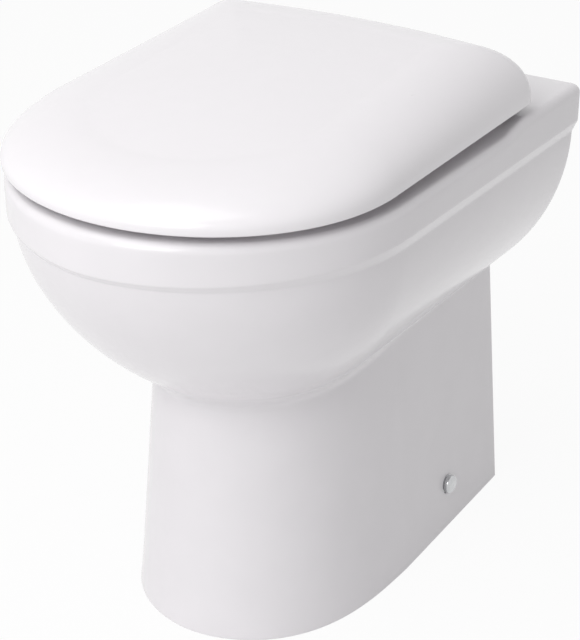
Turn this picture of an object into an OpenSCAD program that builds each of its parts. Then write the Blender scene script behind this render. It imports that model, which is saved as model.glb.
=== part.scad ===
// Back to wall toilet: floor-standing china pan with a wrap-over soft-close seat and lid.
// +Z is up and the floor is z = 0. The front faces -Y and the wall stands at y = pan_depth / 2.

/* [Pan outline] */
// Depth of the pan from its front to the wall
pan_depth = 515; // [490:1:545]
// Width across the rim band
pan_width = 366; // [350:1:385]
// Distance from the front to where the bowl is widest
front_to_widest = 171; // [155:1:185]
// Roundness of the bowl's nose, side to side
nose_round = 2.06; // [1.9:0.02:2.3]
// Roundness of the bowl's nose, front to back
nose_point = 1.6; // [1.5:0.02:1.9]
// Narrowing of the sides towards the wall, in mm for each mm of depth
side_taper = 0.025; // [0:0.005:0.05]

/* [Rim and deck] */
// Height of the rim at the front
rim_height = 440; // [425:1:455]
// Rise from the rim to the flat deck behind the bowl
deck_rise = 6.5; // [3:0.5:9]
// Thickness of the deck
deck_thick = 22; // [18:1:26]
// Radius along the top edge of the band
band_edge_r = 8; // [5:0.5:10]
// Height of the upright band, edge radius included
band_height = 23; // [18:1:28]
// Height of the inward sweep below the band
ogee_height = 23; // [18:1:28]
// How far the band stands out past the bowl
band_out = 5.3; // [3:0.1:8]
// Width of the rim at its sides
rim_side = 46; // [44:1:50]
// Width of the rim at the front
rim_front = 45; // [43:1:50]
// Depth of the deck from the opening to the wall
deck_depth = 165; // [155:1:175]
// Thickness of the rim's inner lip
lip_thick = 11; // [8:0.5:12]
// Depth of the rim's inner lip
lip_depth = 38; // [32:1:42]
// Width of the flush channel behind the lip
channel_width = 16; // [12:1:18]
// Thickness of the china over the flush channel
channel_roof = 13; // [10:1:16]

/* [Bowl and foot] */
// Height over which the outside of the bowl sweeps in
bowl_drop = 185.4; // [175:0.2:195]
// Distance from the front to the line the bowl sweeps down to
front_to_sweep = 230; // [220:1:240]
// Thickness of the china
china_wall = 13; // [11:0.5:15]
// Height over which the inside of the bowl sweeps in
bowl_depth = 168; // [160:1:172]
// Half width of the water surface
sump_half_width = 52; // [46:1:54]
// Width of the foot on the floor
foot_width = 241; // [230:1:252]
// Setback of the foot behind the front of the pan
foot_setback = 114.5; // [108:0.5:122]
// Distance from the front to where the foot is widest
foot_widest = 312; // [300:1:325]
// Lean of the pedestal, in mm for each mm of height
foot_lean = 0.08; // [0.06:0.005:0.1]
// Flare of the foot's front at the floor
foot_flare = 2.5; // [0:0.5:4]
// Narrowing of the foot towards the wall, in mm for each mm of depth
foot_taper = 0.05; // [0.02:0.005:0.07]
// Roundness of the foot, side to side
foot_round = 1.92; // [1.8:0.02:2.2]
// Roundness of the foot, front to back
foot_point = 3.08; // [2.6:0.02:3.4]
// Fillet between pedestal and bowl at the front
crease_fillet = 14; // [8:1:18]

/* [Trap and waterway] */
// Bore of the trap
trap_bore = 68; // [62:1:70]
// Thickness of the trap's wall
trap_wall = 8; // [6:0.5:9]
// Bend radius of the trap
trap_bend = 45; // [44:0.5:47]
// Height of the centre of the lower bend
trap_low = 145; // [140:1:150]
// Distance from the wall to the throat of the trap
throat_setback = 313; // [309:1:317]
// Depth of the water seal
water_seal = 60; // [52:1:64]
// Height of the outlet's centre
outlet_height = 185; // [182:1:190]
// Outside diameter of the outlet spigot
outlet_d = 102; // [100:1:106]
// Length of the outlet spigot
outlet_len = 38; // [32:1:42]
// Distance from the outlet's end to the wall
outlet_gap = 27; // [20:1:32]
// Height of the flush inlet's centre
inlet_height = 385; // [380:1:388]
// Outside diameter of the flush inlet
inlet_d = 55; // [52:0.5:56]
// Bore of the flush inlet
inlet_bore = 42; // [38:0.5:44]

/* [Seat ring] */
// Gap between the pan's rim and the seat ring
seat_gap = 8; // [7:0.5:10]
// Thickness of the seat ring
ring_thick = 14; // [12:0.5:15]
// Gap around the ring, inside the lid
ring_gap = 6.5; // [5:0.5:8]
// Width of the opening in the ring
ring_opening_width = 224; // [210:2:232]
// Width of the ring behind its opening
ring_back = 54.8; // [48:0.2:62]
// Width of the ring at its front
ring_front = 52; // [46:1:58]
// Distance from the hinge axis to the ring's rear edge
ring_rear = 31; // [30:0.5:34]

/* [Lid] */
// Width of the lid
lid_width = 356.8; // [350:0.2:362]
// Setback of the lid's front behind the pan's front
lid_setback = 6; // [4:0.5:10]
// Distance from the lid's rear corners to the hinge axis
lid_rear_gap = 2.3; // [0:0.1:6]
// Distance from the lid's front to where it is widest
lid_widest = 154; // [146:1:162]
// Bow of the lid's rear edge
lid_bow = 11.8; // [8:0.2:15]
// Gap between the rim and the lid's lower edge at mid length
lid_gap = 9.4; // [8.5:0.2:11]
// Fall of the lid's lower edge towards the front, over its half length
lid_fall = 4.7; // [3:0.1:5.5]
// Upright height of the lid's side
lid_skirt = 6; // [4:0.5:8]
// Width of the roll from the lid's side to its top
lid_roll = 70.6; // [60:0.2:80]
// Height of that roll at mid length
lid_roll_height = 41.4; // [38:0.2:44]
// Rise of the lid's top towards the rear, over its half length
lid_rise = 19.8; // [15:0.1:24]
// Crown of the lid's top
lid_crown = 6; // [3:0.5:8]
// Thickness of the lid's wall
lid_wall = 3.2; // [2.6:0.1:3.6]

/* [Hinges] */
// Distance from the wall to the hinge axis
hinge_setback = 89.5; // [88:0.5:92]
// Height of the hinge axis over the deck
hinge_height = 38.5; // [37.5:0.25:39.5]
// Distance between the two hinge posts
hinge_spacing = 155; // [150:1:160]
// Width of a hinge post
post_width = 21; // [18:0.5:24]
// Diameter of the hinge barrels
barrel_d = 17; // [16.5:0.1:17.4]
// Length of the short barrels
short_barrel = 12.5; // [10:0.5:14]
// Length of the barrels that hold a damper
long_barrel = 44; // [40:1:46]
// Diameter of the hinge pins
pin_d = 8; // [7:0.25:9]
// Outside diameter of the dampers
damper_d = 12.6; // [12:0.1:13]
// Running clearance round a hinge pin
pin_clear = 0.05; // [0.02:0.01:0.09]
// Gap between neighbouring barrels
barrel_gap = 0.5; // [0.4:0.1:1]
// Diameter of the hinge foot on the deck
hinge_foot_d = 30; // [28:1:32]
// Thickness of the rubber gasket under the hinge foot
gasket_thick = 1.5; // [1:0.25:2]
// Diameter of the seat-fixing holes in the deck
deck_hole_d = 14; // [13:0.5:16]
// Diameter of the seat bolts
seat_bolt_d = 6; // [6:0.5:8]

/* [Floor fixings] */
// Height of the side fixings over the floor
side_fix_height = 48; // [42:1:54]
// Distance from the wall to the side fixings
side_fix_setback = 112; // [100:1:124]
// Diameter of the holes through the foot
side_hole_d = 12; // [11:0.5:13]
// Diameter of the side screws
side_screw_d = 6; // [5:0.5:7]
// Diameter of the cover caps
cap_d = 19; // [18:0.5:21]
// How far a cover cap stands out
cap_out = 7.5; // [6:0.5:9]
// Thickness of the floor bracket's steel
bracket_thick = 3; // [2.5:0.5:4]
// Length of the floor bracket along the wall of the foot
bracket_len = 44; // [38:1:50]
// Width of the floor bracket's base
bracket_base = 42; // [38:1:48]
// Height of the floor bracket
bracket_height = 66; // [62:1:74]
// Width of the slot for the floor screw
floor_slot_width = 7; // [6:0.5:8]
// Length of the slot for the floor screw
floor_slot_len = 18; // [14:1:20]

/* [Buffers] */
// Diameter of the lid's rubber buffers
lid_buffer_d = 11; // [9:0.5:13]
// Length of the ring's rubber buffers
ring_buffer_len = 26; // [20:1:30]
// Width of the ring's rubber buffers
ring_buffer_width = 11; // [9:0.5:13]
// Clearance between a buffer and what it lands on
seat_clear = 0.3; // [0.2:0.05:0.5]

/* [Hidden] */
$fn = 48;

// Steps along an outline's nose, side, rear corner and rear edge
nose_steps = 14;
side_steps = 6;
back_steps = 3;
corner_steps = 3;
rear_steps = 4;

// Hinge axis, which the lid, the ring and the deck holes share
front_y = -pan_depth / 2;
wall_y = pan_depth / 2;
hinge_y = wall_y - hinge_setback;
hinge_z = rim_height + deck_rise + hinge_height;
barrel_r = barrel_d / 2;

// Pan levels and stations
deck_z = rim_height + deck_rise;
deck_under = deck_z - deck_thick;
band_top = rim_height - band_edge_r;
band_low = rim_height - band_height;
crease_z = band_low - ogee_height;
bowl_low = crease_z - bowl_drop;
bowl_w = pan_width / 2 - band_out;
bowl_curve = 1.69;
widest_y = front_y + front_to_widest;
sweep_y = front_y + front_to_sweep;
foot_mid_y = front_y + foot_widest;
foot_edge = 1.5;
foot_flare_height = 40;

// Opening inside the rim, and the flush channel behind its lip
lip_edge_r = 4;
lip_low = rim_height - lip_depth;
channel_top = rim_height - channel_roof;
channel_out = lip_thick + channel_width;
rim_rear_round = 2.2;
rise_lead = 32;
rise_run = 60;
buffer_lead = 75;
rise_start = wall_y - deck_depth - rise_lead;
rise_end = rise_start + rise_run;
deck_join = 0.7;

// Sump, trap and waterway
throat_y = wall_y - throat_setback;
inside_curve = [1.5, 0.7];
sump_z = crease_z - bowl_depth;
sump_front = 43;
sump_rear = 50;
throat_r = trap_bore / 2 + 2;
sump_floor = trap_low + 20;
hollow_roof = trap_low - 5;
hollow_nose_len = 60;
hollow_round = 3;
trap_out_r = trap_bore / 2 + trap_wall;
rise_angle = 65;
fall_angle = 50;
bend_inside = trap_bend - trap_bore / 2;
crown_z = trap_low - bend_inside + water_seal - bend_inside;
rise_len = (crown_z - trap_low + 2 * trap_bend * cos(rise_angle)) / sin(rise_angle);
fall_len = (crown_z + 2 * trap_bend * cos(fall_angle) - trap_bend - outlet_height) / sin(fall_angle);
outlet_y = wall_y - outlet_gap;
inlet_box = [88, 40];
inlet_wall = 12;
inlet_gap = 22;

// Lid and seat ring
lid_front_y = front_y + lid_setback;
lid_rear_y = hinge_y - lid_rear_gap;
lid_length = lid_rear_y - lid_front_y;
lid_mid_y = lid_front_y + lid_widest;
lid_cy = (lid_front_y + lid_rear_y) / 2;
lid_half_len = lid_length / 2;
lid_round = 2.08;
lid_point = 1.82;
lid_taper = 0.022;
lid_corner_r = 8;
ring_z = rim_height + seat_gap;
ring_top = ring_z + ring_thick;
ring_in = lid_wall + ring_gap;
ring_side_h = 5;
ring_roll = 18;
ring_corner_r = 30;
ring_under_r = 1.5;
ring_nose_y = lid_front_y + ring_in;
ring_rear_y = hinge_y - ring_rear;
ring_open_nose = ring_nose_y + ring_front;
ring_opening_length = ring_rear_y - ring_back - ring_open_nose;
ring_open_mid = ring_open_nose + 0.48 * ring_opening_length;

// Fall of the ring towards its opening: distance from the opening and depth below the top
ring_dish = [[16, 0.5], [6, 3], [1, 6.5], [0, 9.5]];

// Hinges
post_in = hinge_spacing / 2 - post_width / 2;
post_out = hinge_spacing / 2 + post_width / 2;
cut_clear = 3.5;
lid_cut_y = hinge_y - barrel_r - cut_clear;
lid_cut_x = post_out + 3 * barrel_gap + short_barrel;
short_x = post_in - barrel_gap;
lid_x = post_out + barrel_gap;
lid_long_x = short_x - short_barrel - barrel_gap;
socket_depth = 12;
end_wall = 2;
bush_wall = 2;
bush_d = pin_d + 2 * bush_wall;
bush_bore = pin_d + 2 * pin_clear;
bush_seat = 0.1;
end_play = 0.3;
damper_end = long_barrel - end_wall - end_play;
arm_reach = 24;
arm_thick = 6;
ring_arm_reach = 20;

// Hinge posts: a thin foot, and a stem set forward of the axis so that the open lid clears it
foot_thick = 4;
stem_front = 0.95 * barrel_r;
stem_rear = 0.75 * barrel_r;
stem_flare = 3;
stem_flare_height = 6;
post_foot_z = deck_z + gasket_thick;

// Seat fixings under the deck
sleeve_flange = 8;
washer_thick = 2;
bolt_head = 4.5;
bolt_grip = 20;
sleeve_slack = 0.3;
washer_z = deck_under - sleeve_flange - washer_thick;

// Floor fixings
side_fix_y = wall_y - side_fix_setback;
spot_depth = 1;
sleeve_flange_thick = 1.6;
screw_head = 3.2;
nut_thick = 5;
bracket_gap = 0.5;
screw_end = 3;
hole_slack = 0.4;
cap_wall = 1;
cap_round = 3;

function smooth(t) = let (u = max(0, min(1, t))) u * u * (3 - 2 * u);
function mix(a, b, t) = a + (b - a) * t;

// Front of an outline: a superellipse from its nose (0, nose_y) to its widest point (w, mid_y)
function nose(w, nose_y, mid_y, p, q) = [
    for (i = [0:nose_steps])
        let (a = 90 * i / nose_steps)
        [w * pow(sin(a), 2 / p), mid_y + (nose_y - mid_y) * pow(cos(a), 2 / q)]
];

// Nearly straight side behind the nose, drawn in by t for each mm
function side(w, mid_y, end_y, t) = [
    for (i = [1:side_steps])
        let (y = mix(mid_y, end_y, i / side_steps))
        [w - t * (y - mid_y), y]
];

// Straight edge across the back, from the end of the side to the middle
function across(p, steps) = [for (i = [1:steps]) [p.x * (1 - i / steps), p.y]];

// Rear half of an egg-shaped loop
function egg_rear(w, rear_y, mid_y, p, steps) = [
    for (i = [1:steps])
        let (a = 90 * i / steps)
        [w * pow(cos(a), 2 / p), mid_y + (rear_y - mid_y) * pow(sin(a), 2 / p)]
];

function last(v) = v[len(v) - 1];
function mirrored(h) = [for (i = [len(h) - 2:-1:1]) [-h[i].x, h[i].y, h[i].z]];
function loop(h) = concat(h, mirrored(h));
function level(h, z) = loop([for (p = h) [p.x, p.y, z]]);
function rim_lift(y) = deck_rise * smooth((y - rise_start) / (rise_end - rise_start));
function rim_level(h, z) = loop([for (p = h) [p.x, p.y, z + rim_lift(p.y)]]);

// Outward direction in plan at point i of a half outline
function outward(h, i) =
    let (t = h[min(i + 1, len(h) - 1)] - h[max(i - 1, 0)])
    i == 0 ? [0, -1] : [t.y, -t.x] / norm(t);

// Outside of the bowl, ogee and band at height z, drawn in by inset
function bowl_scale(z) = z >= crease_z ? 1
    : sqrt(max(0.0004, 1 - pow((crease_z - z) / bowl_drop, bowl_curve)));
function bowl_side(z, inset) =
    let (
        g = bowl_scale(z),
        e = band_out * smooth((z - crease_z) / ogee_height) - inset,
        w = bowl_w * g + e,
        mid_y = mix(sweep_y, widest_y, g)
    )
    concat(
        nose(w, mix(sweep_y, front_y + band_out, g) - e, mid_y, nose_round, nose_point),
        side(w, mid_y, wall_y, side_taper * g)
    );

// Outside of the pedestal at height z
function foot_side(z, inset) =
    let (
        w = foot_width / 2 - foot_lean * z - inset,
        flare = foot_flare * smooth(z / foot_flare_height + 0.2),
        nose_y = front_y + foot_setback + foot_lean * z + flare + inset
    )
    concat(
        nose(w, nose_y, foot_mid_y, foot_round, foot_point),
        side(w, foot_mid_y, wall_y, foot_taper)
    );
function foot_x(z, y) = foot_width / 2 - foot_lean * z - foot_taper * (y - foot_mid_y);

// Outside of the pan: pedestal and bowl joined by a fillet that grows towards the front
function pan_side(z) =
    let (f = foot_side(z, 0), b = bowl_side(z, 0))
    [
        for (i = [0:len(f) - 1])
            let (
                n = outward(f, i),
                k = crease_fillet * mix(1, 0.4, i / (len(f) - 1)),
                s = max(0, min(1, 0.5 + (b[i] - f[i]) * n / (2 * k)))
            )
            mix(f[i], b[i], s) + n * k * s * (1 - s)
    ];
function to_back(h, y) = concat(
    [for (i = [0:len(h) - 2]) h[i]],
    [[last(h).x, y]],
    across([last(h).x, y], back_steps)
);

// Loop inside the rim, grown outwards by g
function rim_half(g) =
    let (w = pan_width / 2 - rim_side + g, nose_y = front_y + rim_front - g)
    concat(
        nose(w, nose_y, widest_y, nose_round, nose_point),
        egg_rear(w, wall_y - deck_depth + g, widest_y, rim_rear_round, side_steps + back_steps)
    );

// Inside of the bowl: s falls from 1 under the rim to 0 at the sump
function bowl_in(s) =
    let (
        top_w = pan_width / 2 - rim_side + channel_out,
        top_nose = front_y + rim_front - channel_out,
        top_rear = wall_y - deck_depth + channel_out,
        w = mix(sump_half_width, top_w, s),
        mid_y = mix(throat_y, widest_y, s)
    )
    concat(
        nose(w, mix(throat_y - sump_front, top_nose, s), mid_y, mix(2, nose_round, s), mix(2, nose_point, s)),
        egg_rear(
            w, mix(throat_y + sump_rear, top_rear, s), mid_y, mix(2, rim_rear_round, s),
            side_steps + back_steps
        )
    );
function inside_scale(z) =
    pow(1 - pow(max(0, min(1, (crease_z - z) / bowl_depth)), inside_curve.x), inside_curve.y);
function bowl_rear_y(z) = last(bowl_in(inside_scale(z))).y;
function throat_half(r, stretch) = concat(
    nose(r, throat_y - r * stretch, throat_y, 2, 2),
    egg_rear(r, throat_y + r * stretch, throat_y, 2, side_steps + back_steps)
);

// Hollow behind the bowl, open to the wall, at height z
function hollow_side(z) =
    let (
        w = last(pan_side(min(z, crease_z))).x - china_wall,
        nose_y = bowl_rear_y(z) + china_wall
    )
    concat(
        nose(w, nose_y, nose_y + hollow_nose_len, hollow_round, hollow_round),
        side(w, nose_y + hollow_nose_len, wall_y, 0)
    );

// Closed surface through rings of equal length, from a first cap to a last one, or round and back;
// the two halves are split into triangles as mirror images
module loft(rings, round_and_back = false) {
    n = len(rings[0]);
    m = len(rings);
    spans = round_and_back ? m : m - 1;
    walls = [
        for (k = [0:spans - 1], i = [0:n - 1])
            let (j = (i + 1) % n, a = k * n, b = ((k + 1) % m) * n)
            each i < n / 2
                ? [[a + i, b + i, b + j], [a + i, b + j, a + j]]
                : [[a + i, b + i, a + j], [a + j, b + i, b + j]]
    ];
    caps = round_and_back ? [] : [[for (i = [0:n - 1]) i], [for (i = [n - 1:-1:0]) (m - 1) * n + i]];
    polyhedron(points = [for (r = rings) each r], faces = concat(caps, walls), convexity = 10);
}

// Pan: outside from the floor up, over the rim, down the lip, round the flush channel, into the bowl
foot_levels = [0.08, 0.17, 0.38, 0.62, 0.86];
bowl_steps = 15;
bowl_levels = [
    for (j = [0:bowl_steps])
        bowl_low + bowl_drop * (0.085 + 0.915 * pow(j / bowl_steps, 1.6))
];
ogee_levels = [for (t = [0.25, 0.5, 0.75, 1]) crease_z + ogee_height * t];
inside_steps = 9;
outside_rings = concat(
    [
        level(to_back(foot_side(0, foot_edge), wall_y), 0),
        level(to_back(foot_side(foot_edge, 0), wall_y), foot_edge)
    ],
    [for (t = foot_levels) level(to_back(pan_side(bowl_low * t), wall_y), bowl_low * t)],
    [for (z = bowl_levels) level(to_back(pan_side(z), wall_y), z)],
    [for (z = ogee_levels) level(to_back(bowl_side(z, 0), wall_y), z)],
    [
        for (a = [0, 30, 60, 90])
            rim_level(
                to_back(bowl_side(band_top, band_edge_r * (1 - cos(a))), wall_y),
                band_top + band_edge_r * sin(a)
            )
    ]
);
edge_half = to_back(bowl_side(band_top, band_edge_r), wall_y);
lip_half = rim_half(lip_edge_r);
rim_rings = [
    rim_level([for (i = [0:len(lip_half) - 1]) mix(edge_half[i], lip_half[i], deck_join)], rim_height),
    rim_level(lip_half, rim_height),
    rim_level(rim_half(lip_edge_r * 0.3), rim_height - lip_edge_r * 0.3),
    rim_level(rim_half(0), rim_height - lip_edge_r),
    level(rim_half(0), lip_low + 2),
    level(rim_half(2), lip_low),
    level(rim_half(lip_thick - 2), lip_low),
    level(rim_half(lip_thick), lip_low + 2),
    level(rim_half(lip_thick), channel_top),
    level(rim_half(channel_out), channel_top)
];
inside_rings = concat(
    [
        for (j = [0:inside_steps])
            let (z = crease_z - bowl_depth * sin(90 * j / inside_steps))
            level(bowl_in(inside_scale(z)), z)
    ],
    [
        level(throat_half(mix(throat_r, sump_half_width, 0.7), 1), mix(sump_floor, sump_z, 0.4)),
        level(throat_half(throat_r, 1), sump_floor)
    ]
);
hollow_foot = [-5, hollow_roof * 0.4, hollow_roof * 0.75, hollow_roof];
hollow_levels = concat(
    [hollow_roof + 2, mix(hollow_roof, sump_z, 0.6)],
    [for (t = [0, 0.08, 0.15, 0.22, 0.32, 0.44, 0.6, 0.8, 1]) mix(sump_z, crease_z, t)],
    [deck_under]
);
hollow_rings = concat(
    [for (z = hollow_foot) level(to_back(foot_side(z, china_wall), wall_y + 5), z)],
    [for (z = hollow_levels) level(to_back(hollow_side(z), wall_y + 5), z)]
);

// Trap: its centre line as [y, z, heading] in the middle plane, straight runs between round bends
trap_round = 24;
bend_step = 15;
function bend_points(cy, cz, from, to, turn) =
    let (n = ceil(abs(to - from) / bend_step))
    [
        for (i = [0:n])
            let (h = mix(from, to, i / n), a = h - turn * 90)
            [cy + trap_bend * cos(a), cz + trap_bend * sin(a), h]
    ];
low_y = throat_y + trap_bend;
crown_y = low_y + 2 * trap_bend * sin(rise_angle) + rise_len * cos(rise_angle);
fall_y = crown_y + 2 * trap_bend * sin(fall_angle) + fall_len * cos(fall_angle);
function trap_line(lead, end_y) = concat(
    [[throat_y, trap_low + lead, -90]],
    bend_points(low_y, trap_low, -90, rise_angle, 1),
    bend_points(crown_y, crown_z, rise_angle, -fall_angle, -1),
    bend_points(fall_y, outlet_height + trap_bend, -fall_angle, 0, 1),
    [[fall_y, outlet_height, 0], [end_y, outlet_height, 0]]
);
module waterway(r, lead, end_y) {
    line = trap_line(lead, end_y);
    loft([
        for (i = [0:len(line) - 1])
            if (i == 0 || norm([line[i].x - line[i - 1].x, line[i].y - line[i - 1].y]) > 0.01)
            let (q = line[i])
            [
                for (k = [0:trap_round - 1])
                    let (a = 360 * k / trap_round)
                    [r * cos(a), q.x + r * sin(a) * sin(q.z), q.y - r * sin(a) * cos(q.z)]
            ]
    ]);
}

module pan() {
    horn_y = bowl_rear_y(crease_z);
    chamber_y = horn_y + china_wall + inlet_box.y;
    chamber_low = inlet_height - inlet_bore / 2 - 2;
    chamber_w = inlet_box.x - 2 * inlet_wall;
    cap_seat_x = foot_x(side_fix_height, side_fix_y) - spot_depth;
    color("white") difference() {
        union() {
            difference() {
                loft(concat(outside_rings, rim_rings, inside_rings));
                loft(hollow_rings);
            }
            waterway(trap_out_r, sump_floor - trap_low - 2, outlet_y - outlet_len + 1);
            translate([0, outlet_y - outlet_len, outlet_height])
                rotate([-90, 0, 0]) cylinder(d = outlet_d, h = outlet_len);
            translate([-inlet_box.x / 2, horn_y + 1, chamber_low - inlet_wall])
                cube([inlet_box.x, china_wall + inlet_box.y - 1, deck_under + 1 - chamber_low + inlet_wall]);
            translate([0, chamber_y - 1, inlet_height])
                rotate([-90, 0, 0]) cylinder(d = inlet_d, h = wall_y - inlet_gap - chamber_y);
        }
        waterway(trap_bore / 2, sump_floor - trap_low + 10, outlet_y - outlet_len + trap_wall + 1);
        translate([0, outlet_y - outlet_len + trap_wall, outlet_height])
            rotate([-90, 0, 0]) cylinder(d = outlet_d - 2 * trap_wall, h = outlet_len);
        // Flush water runs from the horn through a chamber into the channel behind the lip
        translate([0, chamber_y - inlet_wall, inlet_height])
            rotate([-90, 0, 0]) cylinder(d = inlet_bore, h = wall_y);
        translate([-chamber_w / 2, horn_y + china_wall, chamber_low])
            cube([chamber_w, inlet_box.y - inlet_wall, channel_top - 4 - chamber_low]);
        translate([-chamber_w / 2, horn_y - 8, lip_low + 2])
            cube([chamber_w, china_wall + inlet_box.y - inlet_wall + 8, channel_top - 6 - lip_low]);
        for (side = [-1, 1]) {
            translate([side * hinge_spacing / 2, hinge_y, deck_under - 1])
                cylinder(d = deck_hole_d, h = deck_thick + 2);
            translate([side * foot_x(side_fix_height, side_fix_y), side_fix_y, side_fix_height])
                rotate([0, 90, 0]) cylinder(d = side_hole_d, h = 4 * china_wall, center = true);
            translate([side * cap_seat_x, side_fix_y, side_fix_height])
                rotate([0, side * 90, 0]) cylinder(d = cap_d + 2, h = china_wall);
        }
    }
}

// Lid: outline of its lower edge, then a roll and a crown over it
function lid_half() =
    let (
        w = lid_width / 2,
        s = side(w, lid_mid_y, lid_rear_y - lid_corner_r, lid_taper),
        xc = last(s).x - lid_corner_r
    )
    concat(
        nose(w, lid_front_y, lid_mid_y, lid_round, lid_point),
        s,
        [
            for (i = [1:corner_steps])
                let (a = 90 * i / corner_steps)
                [xc + lid_corner_r * cos(a), lid_rear_y + lid_corner_r * (sin(a) - 1)]
        ],
        [
            for (i = [1:rear_steps])
                let (t = 1 - i / rear_steps)
                [xc * t, lid_rear_y + lid_bow * (1 - t * t)]
        ]
    );
function lid_low(y) = rim_height + lid_gap + lid_fall * (y - lid_cy) / lid_half_len;
function roll_height(y) = lid_roll_height + lid_rise * (y - lid_cy) / lid_half_len;

// A point of the lid: b turns from 0 at its side to 90 on top, d is the depth below the outer surface
function lid_point(p, b, d) =
    let (
        inset = lid_roll * (1 - cos(b)) + d * cos(b),
        y = lid_cy + (p.y - lid_cy) * (1 - inset / lid_half_len)
    )
    [p.x * (1 - 2 * inset / lid_width), y, lid_low(y) + lid_skirt + roll_height(y) * sin(b) - d * sin(b)];

// A point of the lid's crown: f falls from 1 at the roll to 0 in the middle, where the outline is an ellipse
function crown_point(p, f, d) =
    let (
        e = lid_point(p, 90, 0),
        v = [e.x / (lid_width / 2 - lid_roll), (e.y - lid_cy) / (lid_half_len - lid_roll)],
        u = v * f * mix(1, 1 / norm(v), smooth(1 - f)),
        y = lid_cy + (lid_half_len - lid_roll) * u.y
    )
    [
        (lid_width / 2 - lid_roll) * u.x, y,
        lid_low(y) + lid_skirt + roll_height(y) + lid_crown * (1 - f * f) - d
    ];
function lid_edge(inset) = [
    for (p = lid_half())
        let (q = lid_point(p, 0, inset))
        [q.x, q.y, lid_low(q.y)]
];

// Height of the lid's outer surface near its rear edge
function lid_rear_z(x, y) =
    let (
        t = x / (lid_width / 2),
        edge_y = lid_rear_y + lid_bow * (1 - t * t),
        inset = lid_half_len * (1 - (y - lid_cy) / (edge_y - lid_cy)),
        b = acos(max(0, 1 - inset / lid_roll))
    )
    lid_low(y) + lid_skirt + roll_height(y) * sin(b);

lid_inside = concat(
    [for (f = [0.06, 0.6]) loop([for (p = lid_half()) crown_point(p, f, lid_wall)])],
    [for (b = [90, 65, 40, 18, 0]) loop([for (p = lid_half()) lid_point(p, b, lid_wall)])],
    [loop(lid_edge(lid_wall))]
);
lid_outside = concat(
    [loop(lid_edge(0))],
    [for (b = [0, 15, 30, 45, 60, 72, 82, 90]) loop([for (p = lid_half()) lid_point(p, b, 0)])],
    [for (f = [0.8, 0.55, 0.3, 0.06]) loop([for (p = lid_half()) crown_point(p, f, 0)])]
);

// Where the lid's buffers hang: front and side stations of the outline, partway up the roll
buffer_roll = 70;
front_station = 8;
front_turn = 42;
front_buffer_share = 0.45;
side_station = nose_steps + side_steps / 2;
boss_r = lid_buffer_d / 2 + 1.5;
buffer_tall = 4.5;
buffer_stem_d = 5;
buffer_stem_len = 5;
stem_clear = 0.1;
function lid_buffer_at(station) = lid_point(lid_half()[station], buffer_roll, lid_wall);
buffer_z = ring_top + seat_clear;

// Web in the y-z plane, extruded along x from x0 to x1
module web(points, x0, x1) {
    translate([min(x0, x1), 0, 0])
        rotate([90, 0, 90])
        linear_extrude(height = abs(x1 - x0))
        polygon(points);
}
module barrel(x0, x1, d) {
    translate([min(x0, x1), hinge_y, hinge_z])
        rotate([0, 90, 0]) cylinder(d = d, h = abs(x1 - x0));
}
module lid_arm(x0, x1) {
    mid = lid_wall * 0.55;
    back_y = lid_cut_y - arm_reach;
    x = (abs(x0) + abs(x1)) / 2;
    barrel(x0, x1, barrel_d);
    web(
        [
            [hinge_y - 0.6 * barrel_r, hinge_z - 0.75 * barrel_r],
            [hinge_y + 0.1 * barrel_r, hinge_z + 0.9 * barrel_r],
            [lid_cut_y, lid_rear_z(x, lid_cut_y) - mid],
            [back_y, lid_rear_z(x, back_y) - mid],
            [back_y, lid_rear_z(x, back_y) - mid - arm_thick]
        ],
        x0, x1
    );
}
module lid() {
    color("white") difference() {
        union() {
            difference() {
                loft(concat(lid_inside, lid_outside));
                translate([-lid_cut_x, lid_cut_y, deck_z]) cube([2 * lid_cut_x, pan_depth, 2 * hinge_height]);
            }
            lid_arm(lid_x, lid_x + short_barrel);
            lid_arm(-lid_x, -lid_x - short_barrel);
            lid_arm(-lid_long_x, -lid_long_x + long_barrel);
            for (side = [-1, 1], station = [front_station, side_station]) {
                p = lid_buffer_at(station);
                translate([side * p.x, p.y, buffer_z + buffer_tall])
                    cylinder(r = boss_r, h = p.z + lid_wall * 0.3 - buffer_z - buffer_tall);
            }
        }
        barrel(lid_x - 1, lid_x + short_barrel - end_wall, bush_d + bush_seat);
        barrel(-lid_x + 1, -lid_x - short_barrel + end_wall, bush_d + bush_seat);
        barrel(-lid_long_x - 1, -lid_long_x + long_barrel - end_wall, damper_d + bush_seat);
        for (side = [-1, 1], station = [front_station, side_station]) {
            p = lid_buffer_at(station);
            translate([side * p.x, p.y, buffer_z + buffer_tall - 1])
                cylinder(d = buffer_stem_d + 2 * stem_clear, h = buffer_stem_len + 1.5);
        }
    }
}
module lid_buffer(side, station) {
    p = lid_buffer_at(station);
    color("gainsboro") translate([side * p.x, p.y, buffer_z]) {
        cylinder(d1 = lid_buffer_d - 1, d2 = lid_buffer_d, h = 0.5);
        translate([0, 0, 0.5]) cylinder(d = lid_buffer_d, h = buffer_tall - 0.5);
        cylinder(d = buffer_stem_d, h = buffer_tall + buffer_stem_len);
    }
}

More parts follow.
